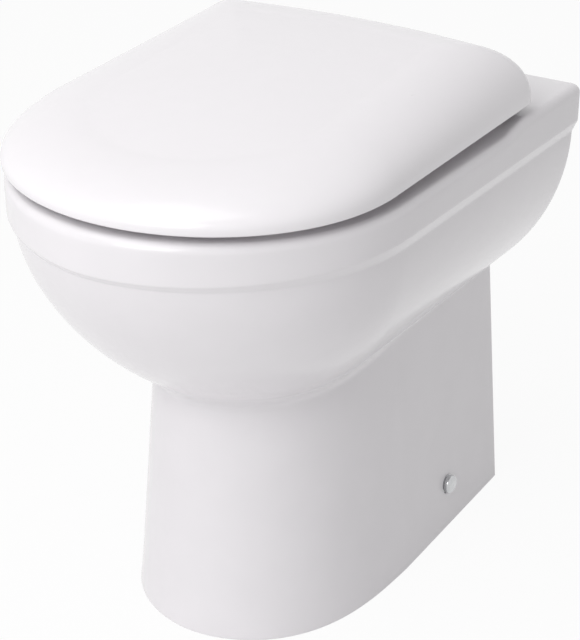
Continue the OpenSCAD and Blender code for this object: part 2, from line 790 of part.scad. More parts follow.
// Seat ring: its outer edge follows the lid's, and its opening is an egg
function ring_out(inset) =
    let (
        w = lid_width / 2 - ring_in - inset,
        rear = ring_rear_y - inset,
        r = ring_corner_r - inset,
        s = side(w, lid_mid_y, rear - r, lid_taper),
        xc = last(s).x - r
    )
    concat(
        nose(w, ring_nose_y + inset, lid_mid_y, lid_round, lid_point),
        s,
        [
            for (i = [1:corner_steps])
                let (a = 90 * i / corner_steps)
                [xc + r * cos(a), rear + r * (sin(a) - 1)]
        ],
        [for (i = [1:rear_steps]) [xc * (1 - i / rear_steps), rear]]
    );
function ring_open(g) = concat(
    nose(ring_opening_width / 2 + g, ring_open_nose - g, ring_open_mid, 2.1, 2),
    egg_rear(
        ring_opening_width / 2 + g, ring_open_nose + ring_opening_length + g, ring_open_mid, 2.2,
        side_steps + corner_steps + rear_steps
    )
);
ring_rings = concat(
    [
        level(ring_open(1), ring_z),
        level(ring_out(ring_under_r), ring_z),
        level(ring_out(0), ring_z + ring_under_r)
    ],
    [
        for (a = [0, 30, 60, 90])
            level(
                ring_out(ring_roll * (1 - cos(a))),
                ring_z + ring_side_h + (ring_thick - ring_side_h) * sin(a)
            )
    ],
    [for (d = ring_dish) level(ring_open(d.x), ring_top - d.y)],
    [level(ring_open(0), ring_z + 1)]
);
module ring_arm(x0, x1) {
    reach_y = ring_rear_y - ring_arm_reach;
    barrel(x0, x1, barrel_d);
    web(
        [
            [reach_y, ring_z + 1],
            [ring_rear_y - 1, ring_z + 1],
            [hinge_y + 0.7 * barrel_r, hinge_z - 0.7 * barrel_r],
            [hinge_y - 0.5 * barrel_r, hinge_z + 0.8 * barrel_r],
            [reach_y, ring_top + 0.5]
        ],
        x0, x1
    );
}

// The ring's buffers sit where the ring lies over the rim, turned along the rim
front_buffer = mix(rim_half(0)[front_station], ring_out(0)[front_station], front_buffer_share);
side_buffer = [lid_width / 2 - ring_in - ring_roll, rise_start - buffer_lead];
module ring_buffer_stems(side, at, d, h) {
    translate([side * at.x, at.y, ring_z]) cylinder(d = d, h = h);
}

module seat_ring() {
    color("white") difference() {
        union() {
            loft(ring_rings, round_and_back = true);
            ring_arm(short_x, short_x - long_barrel);
            ring_arm(-short_x, -short_x + short_barrel);
        }
        barrel(short_x + 1, short_x - long_barrel + end_wall, damper_d + bush_seat);
        barrel(-short_x - 1, -short_x + short_barrel + 1, bush_d + bush_seat);
        for (side = [-1, 1], at = [front_buffer, side_buffer])
            translate([0, 0, -1])
                ring_buffer_stems(side, at, buffer_stem_d + 2 * stem_clear, buffer_stem_len + 1.5);
    }
}
module ring_buffer(side, at, turn) {
    tall = seat_gap - seat_clear;
    reach = (ring_buffer_len - ring_buffer_width) / 2;
    color("gainsboro") {
        translate([side * at.x, at.y, rim_height + seat_clear]) rotate([0, 0, side * turn]) {
            for (end = [-reach, reach])
                translate([end, 0, 0]) cylinder(d = ring_buffer_width, h = tall);
            translate([-reach, -ring_buffer_width / 2, 0]) cube([2 * reach, ring_buffer_width, tall]);
        }
        ring_buffer_stems(side, at, buffer_stem_d, buffer_stem_len);
    }
}

// Bushes and dampers turn on the pins; each fills its barrel
module bush(x0, x1) {
    color("dimgray") difference() {
        barrel(x0, x1, bush_d);
        barrel(x0 - sign(x1 - x0), x1 + sign(x1 - x0), bush_bore);
    }
}
module damper(x0, x1) {
    dir = sign(x1 - x0);
    color("dimgray") difference() {
        barrel(x0, x1, damper_d);
        barrel(x0 - dir, x0 + dir * socket_depth, bush_bore);
    }
}
module hinge_pin(side) {
    inner = side > 0 ? short_x - socket_depth + 1 : lid_long_x - socket_depth + 1;
    outer = lid_x + short_barrel - end_wall - end_play;
    color("silver") barrel(side * inner, side * outer, pin_d);
}
module hinge_post(side) {
    x0 = post_in;
    color("silver") difference() {
        union() {
            barrel(side * x0, side * (x0 + post_width), barrel_d);
            translate([side * hinge_spacing / 2, hinge_y, post_foot_z]) {
                cylinder(d = hinge_foot_d, h = foot_thick - 1);
                translate([0, 0, foot_thick - 1])
                    cylinder(d1 = hinge_foot_d, d2 = hinge_foot_d - stem_flare, h = 1);
            }
            web(
                [
                    [hinge_y - stem_front - stem_flare, post_foot_z + foot_thick - 1],
                    [hinge_y + stem_rear + stem_flare, post_foot_z + foot_thick - 1],
                    [hinge_y + stem_rear, post_foot_z + foot_thick + stem_flare_height],
                    [hinge_y + stem_rear, hinge_z],
                    [hinge_y - stem_front, hinge_z],
                    [hinge_y - stem_front, post_foot_z + foot_thick + stem_flare_height]
                ],
                side * (x0 + 1), side * (x0 + post_width - 1)
            );
        }
        barrel(side * (x0 - 1), side * (x0 + post_width + 1), bush_bore);
        translate([side * hinge_spacing / 2, hinge_y, post_foot_z - 1])
            cylinder(d = seat_bolt_d + 2 * pin_clear, h = bolt_grip + 2);
    }
}
module hinge_gasket(side) {
    color("gainsboro") translate([side * hinge_spacing / 2, hinge_y, deck_z]) difference() {
        cylinder(d = hinge_foot_d + 1, h = gasket_thick);
        translate([0, 0, -1]) cylinder(d = deck_hole_d, h = gasket_thick + 2);
    }
}

// Seat bolt from below: hexagon head, washer, then a rubber sleeve that fills the deck hole
module seat_bolt(side) {
    color("silver") translate([side * hinge_spacing / 2, hinge_y, washer_z - bolt_head]) {
        cylinder(r = seat_bolt_d * 0.96, h = bolt_head, $fn = 6);
        cylinder(d = seat_bolt_d, h = bolt_head + post_foot_z + bolt_grip - washer_z);
    }
}
module seat_washer(side) {
    color("silver") translate([side * hinge_spacing / 2, hinge_y, washer_z]) difference() {
        cylinder(d = deck_hole_d + 8, h = washer_thick);
        translate([0, 0, -1]) cylinder(d = seat_bolt_d + hole_slack, h = washer_thick + 2);
    }
}
module seat_sleeve(side) {
    color("dimgray") translate([side * hinge_spacing / 2, hinge_y, washer_z + washer_thick]) difference() {
        union() {
            cylinder(d = deck_hole_d + 10, h = sleeve_flange);
            cylinder(d = deck_hole_d - sleeve_slack, h = sleeve_flange + deck_thick);
        }
        translate([0, 0, -1]) cylinder(d = seat_bolt_d + hole_slack, h = sleeve_flange + deck_thick + 2);
    }
}

// Floor bracket inside the foot: slotted base, upright with a welded nut for the side screw
seat_x = foot_x(side_fix_height, side_fix_y) - spot_depth;
upright_x = foot_x(bracket_height, side_fix_y + bracket_len / 2) - china_wall - bracket_thick - bracket_gap;
floor_slot_x = upright_x + bracket_thick - bracket_base / 2 - 4;
module floor_bracket(side) {
    base_x = upright_x + bracket_thick - bracket_base;
    color("lightgray") mirror([side < 0 ? 1 : 0, 0, 0]) difference() {
        union() {
            translate([base_x, side_fix_y - bracket_len / 2, 0])
                cube([bracket_base, bracket_len, bracket_thick]);
            translate([upright_x, side_fix_y - bracket_len / 2, 0])
                cube([bracket_thick, bracket_len, bracket_height]);
            translate([upright_x - nut_thick, side_fix_y, side_fix_height])
                rotate([0, 90, 0]) cylinder(r = side_screw_d, h = nut_thick + 1, $fn = 6);
        }
        translate([upright_x - nut_thick - 1, side_fix_y, side_fix_height])
            rotate([0, 90, 0]) cylinder(d = side_screw_d + 2 * pin_clear, h = nut_thick + bracket_thick + 2);
        translate([floor_slot_x, side_fix_y, -1]) {
            for (end = [-1, 1])
                translate([end * (floor_slot_len - floor_slot_width) / 2, 0, 0])
                    cylinder(d = floor_slot_width, h = bracket_thick + 2);
            translate([-(floor_slot_len - floor_slot_width) / 2, -floor_slot_width / 2, 0])
                cube([floor_slot_len - floor_slot_width, floor_slot_width, bracket_thick + 2]);
        }
    }
}
module along_x(side, x) {
    translate([side * x, side_fix_y, side_fix_height]) rotate([0, side * 90, 0]) children();
}
module side_sleeve(side) {
    inner_x = upright_x + bracket_thick + seat_clear;
    color("white") along_x(side, inner_x) difference() {
        union() {
            cylinder(d = side_hole_d - sleeve_slack, h = seat_x - inner_x + sleeve_flange_thick);
            translate([0, 0, seat_x - inner_x]) cylinder(d = cap_d - 2.6, h = sleeve_flange_thick);
        }
        translate([0, 0, -1])
            cylinder(d = side_screw_d + hole_slack, h = seat_x - inner_x + sleeve_flange_thick + 2);
    }
}
module side_screw(side) {
    head_x = seat_x + sleeve_flange_thick;
    color("silver") along_x(side, upright_x - nut_thick - screw_end) {
        cylinder(d = side_screw_d, h = head_x - upright_x + nut_thick + screw_end);
        translate([0, 0, head_x - upright_x + nut_thick + screw_end])
            cylinder(d = side_screw_d * 1.8, h = screw_head);
    }
}
module side_cap(side) {
    r = cap_d / 2;
    color("silver") along_x(side, seat_x) rotate_extrude() difference() {
        union() {
            square([r, cap_out - cap_round]);
            square([r - cap_round, cap_out]);
            translate([r - cap_round, cap_out - cap_round]) circle(r = cap_round);
        }
        translate([-1, -1]) square([r - cap_wall + 1, cap_out - cap_wall + 1 - hole_slack]);
    }
}

pan();
hinge_post(1);  // hinge_post_right
hinge_post(-1);  // hinge_post_left
hinge_pin(1);  // hinge_pin_right
hinge_pin(-1);  // hinge_pin_left
hinge_gasket(1);  // hinge_gasket_right
hinge_gasket(-1);  // hinge_gasket_left
seat_bolt(1);  // seat_bolt_right
seat_bolt(-1);  // seat_bolt_left
seat_washer(1);  // seat_washer_right
seat_washer(-1);  // seat_washer_left
seat_sleeve(1);  // seat_sleeve_right
seat_sleeve(-1);  // seat_sleeve_left
floor_bracket(1);  // floor_bracket_right
floor_bracket(-1);  // floor_bracket_left
side_screw(1);  // side_screw_right
side_screw(-1);  // side_screw_left
side_sleeve(1);  // side_sleeve_right
side_sleeve(-1);  // side_sleeve_left
side_cap(1);  // side_cap_right
side_cap(-1);  // side_cap_left
seat_ring();
damper(short_x, short_x - damper_end);  // ring_damper
bush(-short_x, -short_x + short_barrel);  // ring_bush
ring_buffer(1, front_buffer, front_turn);  // ring_buffer_front_right
ring_buffer(-1, front_buffer, front_turn);  // ring_buffer_front_left
ring_buffer(1, side_buffer, 90);  // ring_buffer_rear_right
ring_buffer(-1, side_buffer, 90);  // ring_buffer_rear_left
lid();
damper(-lid_long_x, damper_end - lid_long_x);  // lid_damper
bush(lid_x, lid_x + short_barrel - end_wall - end_play);  // lid_bush_right
bush(-lid_x, -lid_x - short_barrel + end_wall + end_play);  // lid_bush_left
lid_buffer(1, front_station);  // lid_buffer_front_right
lid_buffer(-1, front_station);  // lid_buffer_front_left
lid_buffer(1, side_station);  // lid_buffer_rear_right
lid_buffer(-1, side_station);  // lid_buffer_rear_left
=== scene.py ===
import math
import bpy
import numpy as np
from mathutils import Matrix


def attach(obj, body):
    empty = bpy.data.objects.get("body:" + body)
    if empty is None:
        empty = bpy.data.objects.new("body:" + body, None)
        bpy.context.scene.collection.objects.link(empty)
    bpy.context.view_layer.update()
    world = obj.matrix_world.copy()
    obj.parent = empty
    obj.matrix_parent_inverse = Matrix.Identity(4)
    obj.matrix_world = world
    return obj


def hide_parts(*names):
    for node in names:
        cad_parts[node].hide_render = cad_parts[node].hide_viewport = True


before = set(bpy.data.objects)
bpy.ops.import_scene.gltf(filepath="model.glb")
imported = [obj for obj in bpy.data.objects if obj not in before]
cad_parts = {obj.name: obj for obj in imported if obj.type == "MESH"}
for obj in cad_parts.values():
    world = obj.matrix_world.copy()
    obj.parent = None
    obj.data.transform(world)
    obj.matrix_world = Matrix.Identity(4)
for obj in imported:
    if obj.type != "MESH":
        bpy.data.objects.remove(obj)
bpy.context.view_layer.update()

# ---------------------------------------------------------------- china pan, outside
# One casting of vitreous china: bowl, rim, deck and pedestal are a single skin. The slip is
# poured into a plaster mould, dried, sprayed with white glaze and fired, so every edge is soft.
# Sizes are in millimetres, which become metres where a mesh is made.
pan_width, pan_depth = 366.0, 515.0
front_y, wall_y = -pan_depth / 2, pan_depth / 2
rim_height, deck_rise = 440.0, 6.5
rise_start, rise_end = front_y + 360, front_y + 400
wall_edge, toe_edge, inside_box = 3.0, 1.5, 0.2

# The rim's band stands out over a slanting facet, which one arc joins to the bowl and another to
# the band. The facet is short at the nose and grows to almost twice the height along the sides.
band_out, band_edge = 5.3, 8.0
band_top = rim_height - band_edge
facet_low, facet_lean, side_growth = 397.5, math.radians(40), 1.85
hollow_r, nose_r = 3.0, 2.5
arc_out, arc_up = 1 - math.cos(facet_lean), math.sin(facet_lean)
facet_run = (band_out - (hollow_r + nose_r) * arc_out) / math.tan(facet_lean)
facet_top = facet_low + (hollow_r + nose_r) * arc_up + facet_run

# The bowl's nose and widest place, and the powers of its superellipse, at the top and lowest down.
bowl_top, bowl_drop, bowl_taper = 400.0, 191.4, 0.025
bowl_low, bowl_half = bowl_top - bowl_drop, pan_width / 2 - band_out - inside_box
widest_y, nose_x_power, nose_y_power = front_y + 192.5, 1.86, 2.1
low_nose_y, low_widest_y, low_x_power = front_y + 241.7, front_y + 269, 2.18

# The pedestal's nose and widest place at the floor. It leans and tapers by so much for each mm.
foot_half, foot_nose_y, foot_widest_y = 120.5, front_y + 114.5, front_y + 312
foot_lean, foot_taper, foot_x_power, foot_y_power = 0.08, 0.05, 1.92, 3.08
toe_back, toe_height = 2.5, 40
fillet_front, fillet_side, fillet_share = 26, 6, 0.7

# Half an outline goes round the nose, along the side, round a rear corner and across the back.
turn = np.pi / 2 * (1 - (1 - np.linspace(0, 1, 73)) ** 1.5)
along = np.linspace(0, 1, 29)[1:]
corner = np.linspace(0, np.pi / 2, 7)[1:]
behind = np.linspace(1, 0, 15)[1:]


def smooth(t):
    """Step from 0 to 1 with level ends: three t squared less two t cubed."""
    t = np.clip(t, 0, 1)
    return t * t * (3 - 2 * t)


def mix(a, b, t):
    """Value at share t of the way from a to b."""
    return a + (b - a) * t


def rows(*values):
    """One column of heights, widths or shares, a row of the grid for each."""
    return np.concatenate([np.ravel(v) for v in values])[:, None]


def outline(w, nose_y, mid_y, p, q, end_y, taper):
    """Half outline in plan. The nose is a superellipse: x grows as the sine to the power 2/p and
    y as the cosine to the power 2/q. The side behind it is straight, drawn in by taper each mm."""
    x0, y0 = w * np.sin(turn) ** (2 / p), mid_y + (nose_y - mid_y) * np.cos(turn) ** (2 / q)
    y1 = mix(mid_y + 0 * w, end_y, along)
    return np.hstack([x0, w - taper * (y1 - mid_y)]), np.hstack([y0, y1])


def bowl(z, out=0.0):
    """Outline of the bowl at a height, grown by out. The half width shrinks as (1 - s^1.91)^0.554
    and the nose draws back as (1 - s^1.5)^0.517, s being the share of the depth."""
    s = np.maximum(0, bowl_top - z) / bowl_drop
    g = np.maximum(0.0004, 1 - s ** 1.91) ** 0.554
    reach = np.maximum(0.0004, 1 - s ** 1.5) ** 0.517
    return outline(bowl_half * g + out, mix(low_nose_y, front_y + band_out, reach) - out,
                   mix(low_widest_y, widest_y, g), mix(low_x_power, nose_x_power, g),
                   nose_y_power, wall_y, bowl_taper * g)


def pedestal(z, inset=0.0):
    """Foot of the pan: an almost upright outline that leans in with the height, and whose nose
    draws back a little more over its lowest part by a smooth step."""
    nose_y = foot_nose_y + foot_lean * z + toe_back * smooth(z / toe_height + 0.2) + inset
    return outline(foot_half - foot_lean * z - inset, nose_y, foot_widest_y,
                   foot_x_power, foot_y_power, wall_y, foot_taper)


def pan_side(z):
    """Pedestal and bowl blended by a smooth maximum along the pedestal's outward direction: their
    mixture by s, plus k s (1 - s). The fillet k is widest at the front."""
    (fx, fy), (bx, by) = pedestal(z), bowl(z)
    tx, ty = np.gradient(fx, axis=1), np.gradient(fy, axis=1)
    nx, ny = ty / np.hypot(tx, ty), -tx / np.hypot(tx, ty)
    nx[:, 0], ny[:, 0] = 0, -1
    share = [np.linspace(0, 1, turn.size) * fillet_share, mix(fillet_share, 1, along)]
    k = mix(fillet_front, fillet_side, smooth(np.concatenate(share)))
    s = np.clip(0.5 + ((bx - fx) * nx + (by - fy) * ny) / (2 * k), 0, 1)
    swell = k * s * (1 - s)
    return mix(fx, bx, s) + nx * swell, mix(fy, by, s) + ny * swell


def to_wall(x, y, back=0.0):
    """Ends a half outline at the wall: a small round corner, then straight to the middle."""
    r = wall_edge
    end_x, end_y = x[:, -1:], wall_y - back
    y = np.hstack([y[:, :-1], 0 * end_x + end_y - r])
    cx, cy = end_x - r + r * np.cos(corner), end_y - r + r * np.sin(corner) + 0 * end_x
    return np.hstack([x, cx, (end_x - r) * behind]), np.hstack([y, cy, end_y + 0 * end_x * behind])


def lift(y):
    """Rise from the rim to the flat deck behind the bowl."""
    return deck_rise * smooth((y - rise_start) / (rise_end - rise_start))


def ring(x, y, z):
    """Whole loops from half outlines: the half, then its mirror image back to the nose. Takes
    millimetres and gives metres."""
    z = z + 0 * x
    half = np.stack([x, y, z], axis=2)
    other = half[:, -2:0:-1] * [-1, 1, 1]
    return np.concatenate([half, other], axis=1) * 0.001


def surface(name, grid, closed=False):
    """Mesh object over a grid of loops: four-sided faces between neighbouring loops, and a flat
    face on the first and last loop, or on from the last loop to the first."""
    m, n = grid.shape[:2]
    k, i = np.meshgrid(np.arange(m if closed else m - 1), np.arange(n), indexing="ij")
    up, nxt = (k + 1) % m, (i + 1) % n
    quads = np.stack([k * n + i, k * n + nxt, up * n + nxt, up * n + i], axis=2).reshape(-1, 4)
    faces = quads.tolist()
    if not closed:
        faces += [list(range(n - 1, -1, -1)), list(range((m - 1) * n, m * n))]
    mesh = bpy.data.meshes.new(name)
    mesh.from_pydata(grid.reshape(-1, 3), [], faces)
    mesh.validate()
    piece = bpy.data.objects.new(name, mesh)
    bpy.context.collection.objects.link(piece)
    return piece


quarter = np.linspace(0, np.pi / 2, 9)[:, None]
toe_x, toe_y = pedestal(toe_edge + 0 * quarter, toe_edge * (1 - np.sin(quarter)))
foot_z = rows(np.linspace(4, bowl_low * 0.9, 16))
sweep_z = rows(mix(bowl_low, facet_low, np.linspace(0, 1, 90) ** 1.25))
a = rows(np.linspace(0, facet_lean, 8)[1:])
nose_a = a[::-1]
step_z = rows(facet_low + hollow_r * np.sin(a), facet_top - nose_r * np.sin(nose_a), facet_top)
step_out = rows(hollow_r * (1 - np.cos(a)), band_out - nose_r * (1 - np.cos(nose_a)), band_out)
side_x, side_y = to_wall(*bowl(rows(band_top), band_out))
facet_grow = np.full_like(side_x, side_growth)
facet_grow[0, :turn.size] = mix(1, side_growth, smooth(np.linspace(0, 1, turn.size)))
side_low = facet_low + (facet_top - facet_low) * facet_grow
band_t = np.linspace(0, 1, 6)[1:-1, None]
edge_in = band_edge * (1 - np.cos(quarter))
edge_x, edge_y = to_wall(*bowl(band_top + 0 * quarter, band_out - edge_in), 0.5 * edge_in)
outside = [
    ring(*to_wall(toe_x, toe_y), toe_edge * (1 - np.cos(quarter))),
    ring(*to_wall(*pan_side(foot_z)), foot_z),
    ring(*to_wall(*pan_side(sweep_z)), sweep_z),
    ring(*to_wall(*bowl(step_z, step_out)), facet_low + (step_z - facet_low) * facet_grow),
    ring(side_x + 0 * band_t, side_y + 0 * band_t, mix(side_low, band_top + lift(side_y), band_t)),
    ring(edge_x, edge_y, band_top + band_edge * np.sin(quarter) + lift(edge_y)),
]

# ---------------------------------------------------------------- china pan, rim and bowl
# The rim is a hollow box: its lip hangs into the bowl and hides the channel that carries the flush
# round. The bowl behind it falls to a small water surface over the throat of the trap.
mouth_half, mouth_front, mouth_rear, egg_power = 137, front_y + 45, front_y + 350, 2.2
lip_thick, lip_low, lip_edge, lip_foot = 11.0, 402.0, 4, 2
channel_out, channel_top, channel_step = 27.0, 427.0, 8
china_wall, fall_top, bowl_depth, bowl_rear = 13.0, 394.0, 168.0, front_y + 377
throat_y, throat_r, sump_flare = front_y + 202, 36, 16
water_half, water_front, water_rear, water_blend = 52, 43, 50, 26
sump_z, sump_floor = 226.0, 165.0
rear_n = edge_x.shape[1] - turn.size
rear_turn = np.linspace(0, np.pi / 2, rear_n + 1)[1:]


def egg(w, nose_y, mid_y, rear_y, p, q, r):
    """Half of an egg-shaped loop: a superellipse of powers p and q in front of the widest point
    and one of power r behind it."""
    x0, x1 = w * np.sin(turn) ** (2 / p), w * np.cos(rear_turn) ** (2 / r)
    y0 = mid_y + (nose_y - mid_y) * np.cos(turn) ** (2 / q)
    y1 = mid_y + (rear_y - mid_y) * np.sin(rear_turn) ** (2 / r)
    return np.hstack([x0, x1]), np.hstack([y0, y1])


def rim_loop(g):
    """Loop inside the rim, grown outwards by g."""
    return egg(mouth_half + g, mouth_front - g, widest_y, mouth_rear + g,
               nose_x_power, nose_y_power, egg_power)


def bowl_inside(z):
    """Inside of the bowl at a height. Its front is the outside less the china's thickness, until
    it meets the oval of the water; its rear falls by (1 - d^1.5)^0.7, d being the share of the
    bowl's depth."""
    s = (1 - np.clip((fall_top - z) / bowl_depth, 0, 1) ** 1.5) ** 0.7
    free, (x, y) = smooth((z - sump_z) / water_blend), bowl(np.minimum(z, facet_low))
    return egg(mix(water_half, x[:, [turn.size - 1]] - china_wall, free),
               mix(throat_y - water_front, y[:, :1] + china_wall, free),
               mix(throat_y, widest_y, s), mix(throat_y + water_rear, bowl_rear, s),
               mix(2, nose_x_power, s), mix(2, nose_y_power, s), mix(2, egg_power, s))


deck_t = np.linspace(0, 1, 9)[1:-1, None]
lip_x, lip_y = rim_loop(lip_edge + 0 * deck_t)
deck_x, deck_y = mix(edge_x[-1], lip_x, deck_t), mix(edge_y[-1], lip_y, deck_t)
lip_g, lip_z = lip_edge * (1 - np.sin(quarter)), lip_edge * np.cos(quarter) - lip_edge
down_t = np.linspace(0, 1, 8)[1:-1, None]
inner_x, inner_y = rim_loop(0 * down_t)
lip_t = quarter[1:]
front_foot = lip_foot - lip_foot * np.cos(lip_t), lip_foot - lip_foot * np.sin(lip_t)
back_foot = (lip_thick - lip_foot + lip_foot * np.sin(quarter),
             lip_foot - lip_foot * np.cos(quarter))
fall_z = fall_top - bowl_depth * np.sin(rows(np.linspace(0, np.pi / 2, 40)))
sump_t = np.linspace(0, 1, 10)[1:, None]
sump_r = throat_r + sump_flare * np.cos(sump_t * np.pi / 2) ** 0.8
sump_loops = egg(sump_r, throat_y - sump_r, throat_y, throat_y + sump_r, 2, 2, 2)
inside = [
    ring(deck_x, deck_y, rim_height + lift(deck_y)),
    ring(*rim_loop(lip_g), rim_height + lip_z + lift(rim_loop(lip_g)[1])),
    ring(inner_x, inner_y, mix(rim_height - lip_edge + lift(inner_y), lip_low + lip_foot, down_t)),
    ring(*rim_loop(rows(0)), lip_low + lip_foot),
    *[ring(*rim_loop(g), lip_low + z) for g, z in (front_foot, back_foot)],
    ring(*rim_loop(lip_thick + rows(0, 0)), rows(lip_low + channel_step, channel_top)),
    ring(*rim_loop(channel_out + rows(0, 0)), rows(channel_top, channel_top - channel_step)),
    ring(*bowl_inside(fall_z), fall_z),
    ring(*sump_loops, mix(sump_z, sump_floor, sump_t)),
]
glaze = bpy.data.materials.new("glazed_vitreous_china")
pan = surface("china_pan", np.concatenate(outside + inside))
pan.data.materials.append(glaze)

# ---------------------------------------------------------------- china pan, hollow, trap and inlet
# Behind the bowl the casting is an open shell. The trap is a tube of china that dips, climbs over
# the crown and falls to the outlet spigot; above it a horn takes the flush pipe into a chamber.
hinge_x, hinge_y, hinge_z = 77.5, wall_y - 89.5, 485.0
fix_y, fix_z = wall_y - 112, 48.0
hollow_roof, hollow_nose, past_wall = 424.5, 60, 5
trap_r, trap_bore, bend_r, dip_z, crown_z, climb, drop = 42, 34, 45, 145, 183, 65, 50
outlet_y, outlet_z, outlet_bore, spigot_r, spigot_len = wall_y - 27, 185, 43, 51, 38
horn_y, horn_r, horn_bore, inlet_z = wall_y - 21, 27.5, 21, 385
rear_y = bowl_inside(rows(fall_top))[1][0, -1]
chamber_y, chamber_low, chamber_wall, chamber_half = rear_y + china_wall + 40, 362.0, 12, 32
chamber_top, passage_low, passage_top = 423, 404, 425
bolt_hole, screw_hole, cap_seat, cap_sunk = 7, 6, 10.5, 1


def hollow(z):
    """Space behind the bowl: as wide as the pan less its wall, from behind the bowl to past the
    wall."""
    w = pan_side(np.minimum(z, facet_low))[0][:, -1:] - china_wall
    nose_y = bowl_inside(np.clip(z, sump_z, fall_top))[1][:, -1:] + china_wall
    return outline(w, nose_y, nose_y + hollow_nose, 3, 3, wall_y + past_wall, 0)


def straight_across(x, y):
    """Squares off the back of a half outline, past the wall."""
    end = x[:, -1:]
    return np.hstack([x, end * behind]), np.hstack([y, y[:, -1:] + 0 * end * behind])


low_z = rows(-5, np.linspace(20, 140, 7))
high_z = rows(146, 175, 210, np.linspace(sump_z, fall_top, 26), hollow_roof)
low_x, low_y = pedestal(low_z, china_wall)
low_y[:, -1] = wall_y + past_wall
hollow_cut = surface("hollow", np.concatenate([
    ring(*straight_across(low_x, low_y), low_z), ring(*straight_across(*hollow(high_z)), high_z)]))
bare_china = bpy.data.materials.new("unglazed_vitreous_china")
hollow_cut.data.materials.append(bare_china)


def bend(cy, cz, start, end, side):
    """Round bend of the trap's centre line: [y, z, heading] every 6 degrees."""
    heading = np.radians(np.linspace(start, end, int(abs(end - start) / 6) + 1))
    a = heading - side * np.pi / 2
    return np.stack([cy + bend_r * np.cos(a), cz + bend_r * np.sin(a), heading], axis=1)


def waterway(name, r, lead, end_y):
    """Circle of radius r carried along the trap's centre line in the middle plane: down the
    throat, round the dip, up the climb, over the crown, down again and level to the outlet."""
    rise, fall = np.radians(climb), np.radians(drop)
    rise_len = (crown_z - dip_z + 2 * bend_r * np.cos(rise)) / np.sin(rise)
    fall_len = (crown_z + 2 * bend_r * np.cos(fall) - bend_r - outlet_z) / np.sin(fall)
    dip_y = throat_y + bend_r
    crown_y = dip_y + 2 * bend_r * np.sin(rise) + rise_len * np.cos(rise)
    level_y = crown_y + 2 * bend_r * np.sin(fall) + fall_len * np.cos(fall)
    line = np.concatenate([
        [[throat_y, dip_z + lead, -np.pi / 2]], bend(dip_y, dip_z, -90, climb, 1),
        bend(crown_y, crown_z, climb, -drop, -1), bend(level_y, outlet_z + bend_r, -drop, 0, 1),
        [[end_y, outlet_z, 0]]])[:, None]
    a = np.linspace(0, 2 * np.pi, 49)[None, :-1]
    y, z, h = line[..., 0], line[..., 1], line[..., 2]
    return surface(name, 0.001 * np.stack(
        [r * np.cos(a) + 0 * y, y + r * np.sin(a) * np.sin(h), z - r * np.sin(a) * np.cos(h)],
        axis=2))


def turned(name, profile, origin, axis="z", steps=64):
    """Profile of [distance, radius] turned about an axis through the origin, ends closed."""
    d, r = np.array(profile, float).T[..., None]
    a = np.linspace(0, 2 * np.pi, steps + 1)[None, :-1]
    u, v, w = r * np.cos(a), r * np.sin(a), d + 0 * a
    order = {"x": (w, u, v), "y": (v, w, u), "z": (u, v, w)}[axis]
    return surface(name, (np.stack(order, axis=2) + origin) * 0.001)


def block(name, low, high, r):
    """Upright block between two corners, its four standing edges rounded by r."""
    cx, cy = np.array([1, -1, -1, 1]), np.array([1, 1, -1, -1])
    h = (np.array(high) - low) / 2
    q = np.radians(np.arange(7) * 15)[None] + np.radians([[0], [90], [180], [270]])
    x = (cx[:, None] * (h[0] - r) + r * np.cos(q)).ravel() + low[0] + h[0]
    y = (cy[:, None] * (h[1] - r) + r * np.sin(q)).ravel() + low[1] + h[1]
    loops = [np.stack([x, y, 0 * x + z], axis=1) for z in (low[2], high[2])]
    return surface(name, 0.001 * np.array(loops))


def carve(piece, *steps):
    """Unites the piece with closed parts or cuts them out of it, one after the other, and keeps
    the result."""
    for how, part in steps:
        cut = piece.modifiers.new(how, "BOOLEAN")
        cut.operation, cut.object = how, part
        cut.solver, cut.material_mode = "MANIFOLD", "TRANSFER"
    bpy.context.view_layer.update()
    done = bpy.data.meshes.new_from_object(
        piece.evaluated_get(bpy.context.evaluated_depsgraph_get()))
    piece.modifiers.clear()
    piece.data = done
    for how, part in steps:
        bpy.data.objects.remove(part)
    return piece


def soften(piece):
    """Smooth shading that keeps edges sharper than 32 degrees."""
    mesh = piece.data
    mesh.polygons.foreach_set("use_smooth", np.ones(len(mesh.polygons), bool))
    mesh.set_sharp_from_angle(angle=math.radians(32))
    return piece


def across(name, x0, x1, r, y, z):
    """Round bar along x between two stations, which cuts a bore."""
    return turned(name, [[x0, r], [x1, r]], [0, y, z], "x")


horn_len = horn_y - chamber_y
chamber_in = chamber_y - chamber_wall
spigot = [[0, 40], [0, 49], [2, spigot_r], [35, spigot_r], [37, 50.2], [38, 48.5], [38, 40]]
horn = [[-1, 20], [-1, horn_r], [horn_len - 3, horn_r], [horn_len - 1, 26.5], [horn_len, 25],
        [horn_len, 20]]
chamber_box = ([-chamber_half - chamber_wall, rear_y + 1, chamber_low - chamber_wall],
               [chamber_half + chamber_wall, chamber_y, hollow_roof + 1])
bare_parts = [
    waterway("trap", trap_r, 18, outlet_y - spigot_len + 1),
    turned("spigot", spigot, [0, outlet_y - spigot_len, outlet_z], "y"),
    block("chamber_box", *chamber_box, 5),
    turned("horn", horn, [0, chamber_y, inlet_z], "y"),
]
for part in bare_parts:
    part.data.materials.append(bare_china)
bores = [
    waterway("trap_bore", trap_bore, 30, outlet_y - 29),
    turned("outlet_bore", [[-30, outlet_bore], [6, outlet_bore], [8.01, 45], [20, 45]],
           [0, outlet_y - 8, outlet_z], "y"),
    turned("inlet_bore", [[-12, horn_bore], [100, horn_bore]], [0, chamber_y, inlet_z], "y"),
    block("chamber", [-chamber_half, rear_y + china_wall, chamber_low],
          [chamber_half, chamber_in, chamber_top], 4),
    block("passage", [-chamber_half, rear_y - 8, passage_low],
          [chamber_half, chamber_in, passage_top], 4),
]
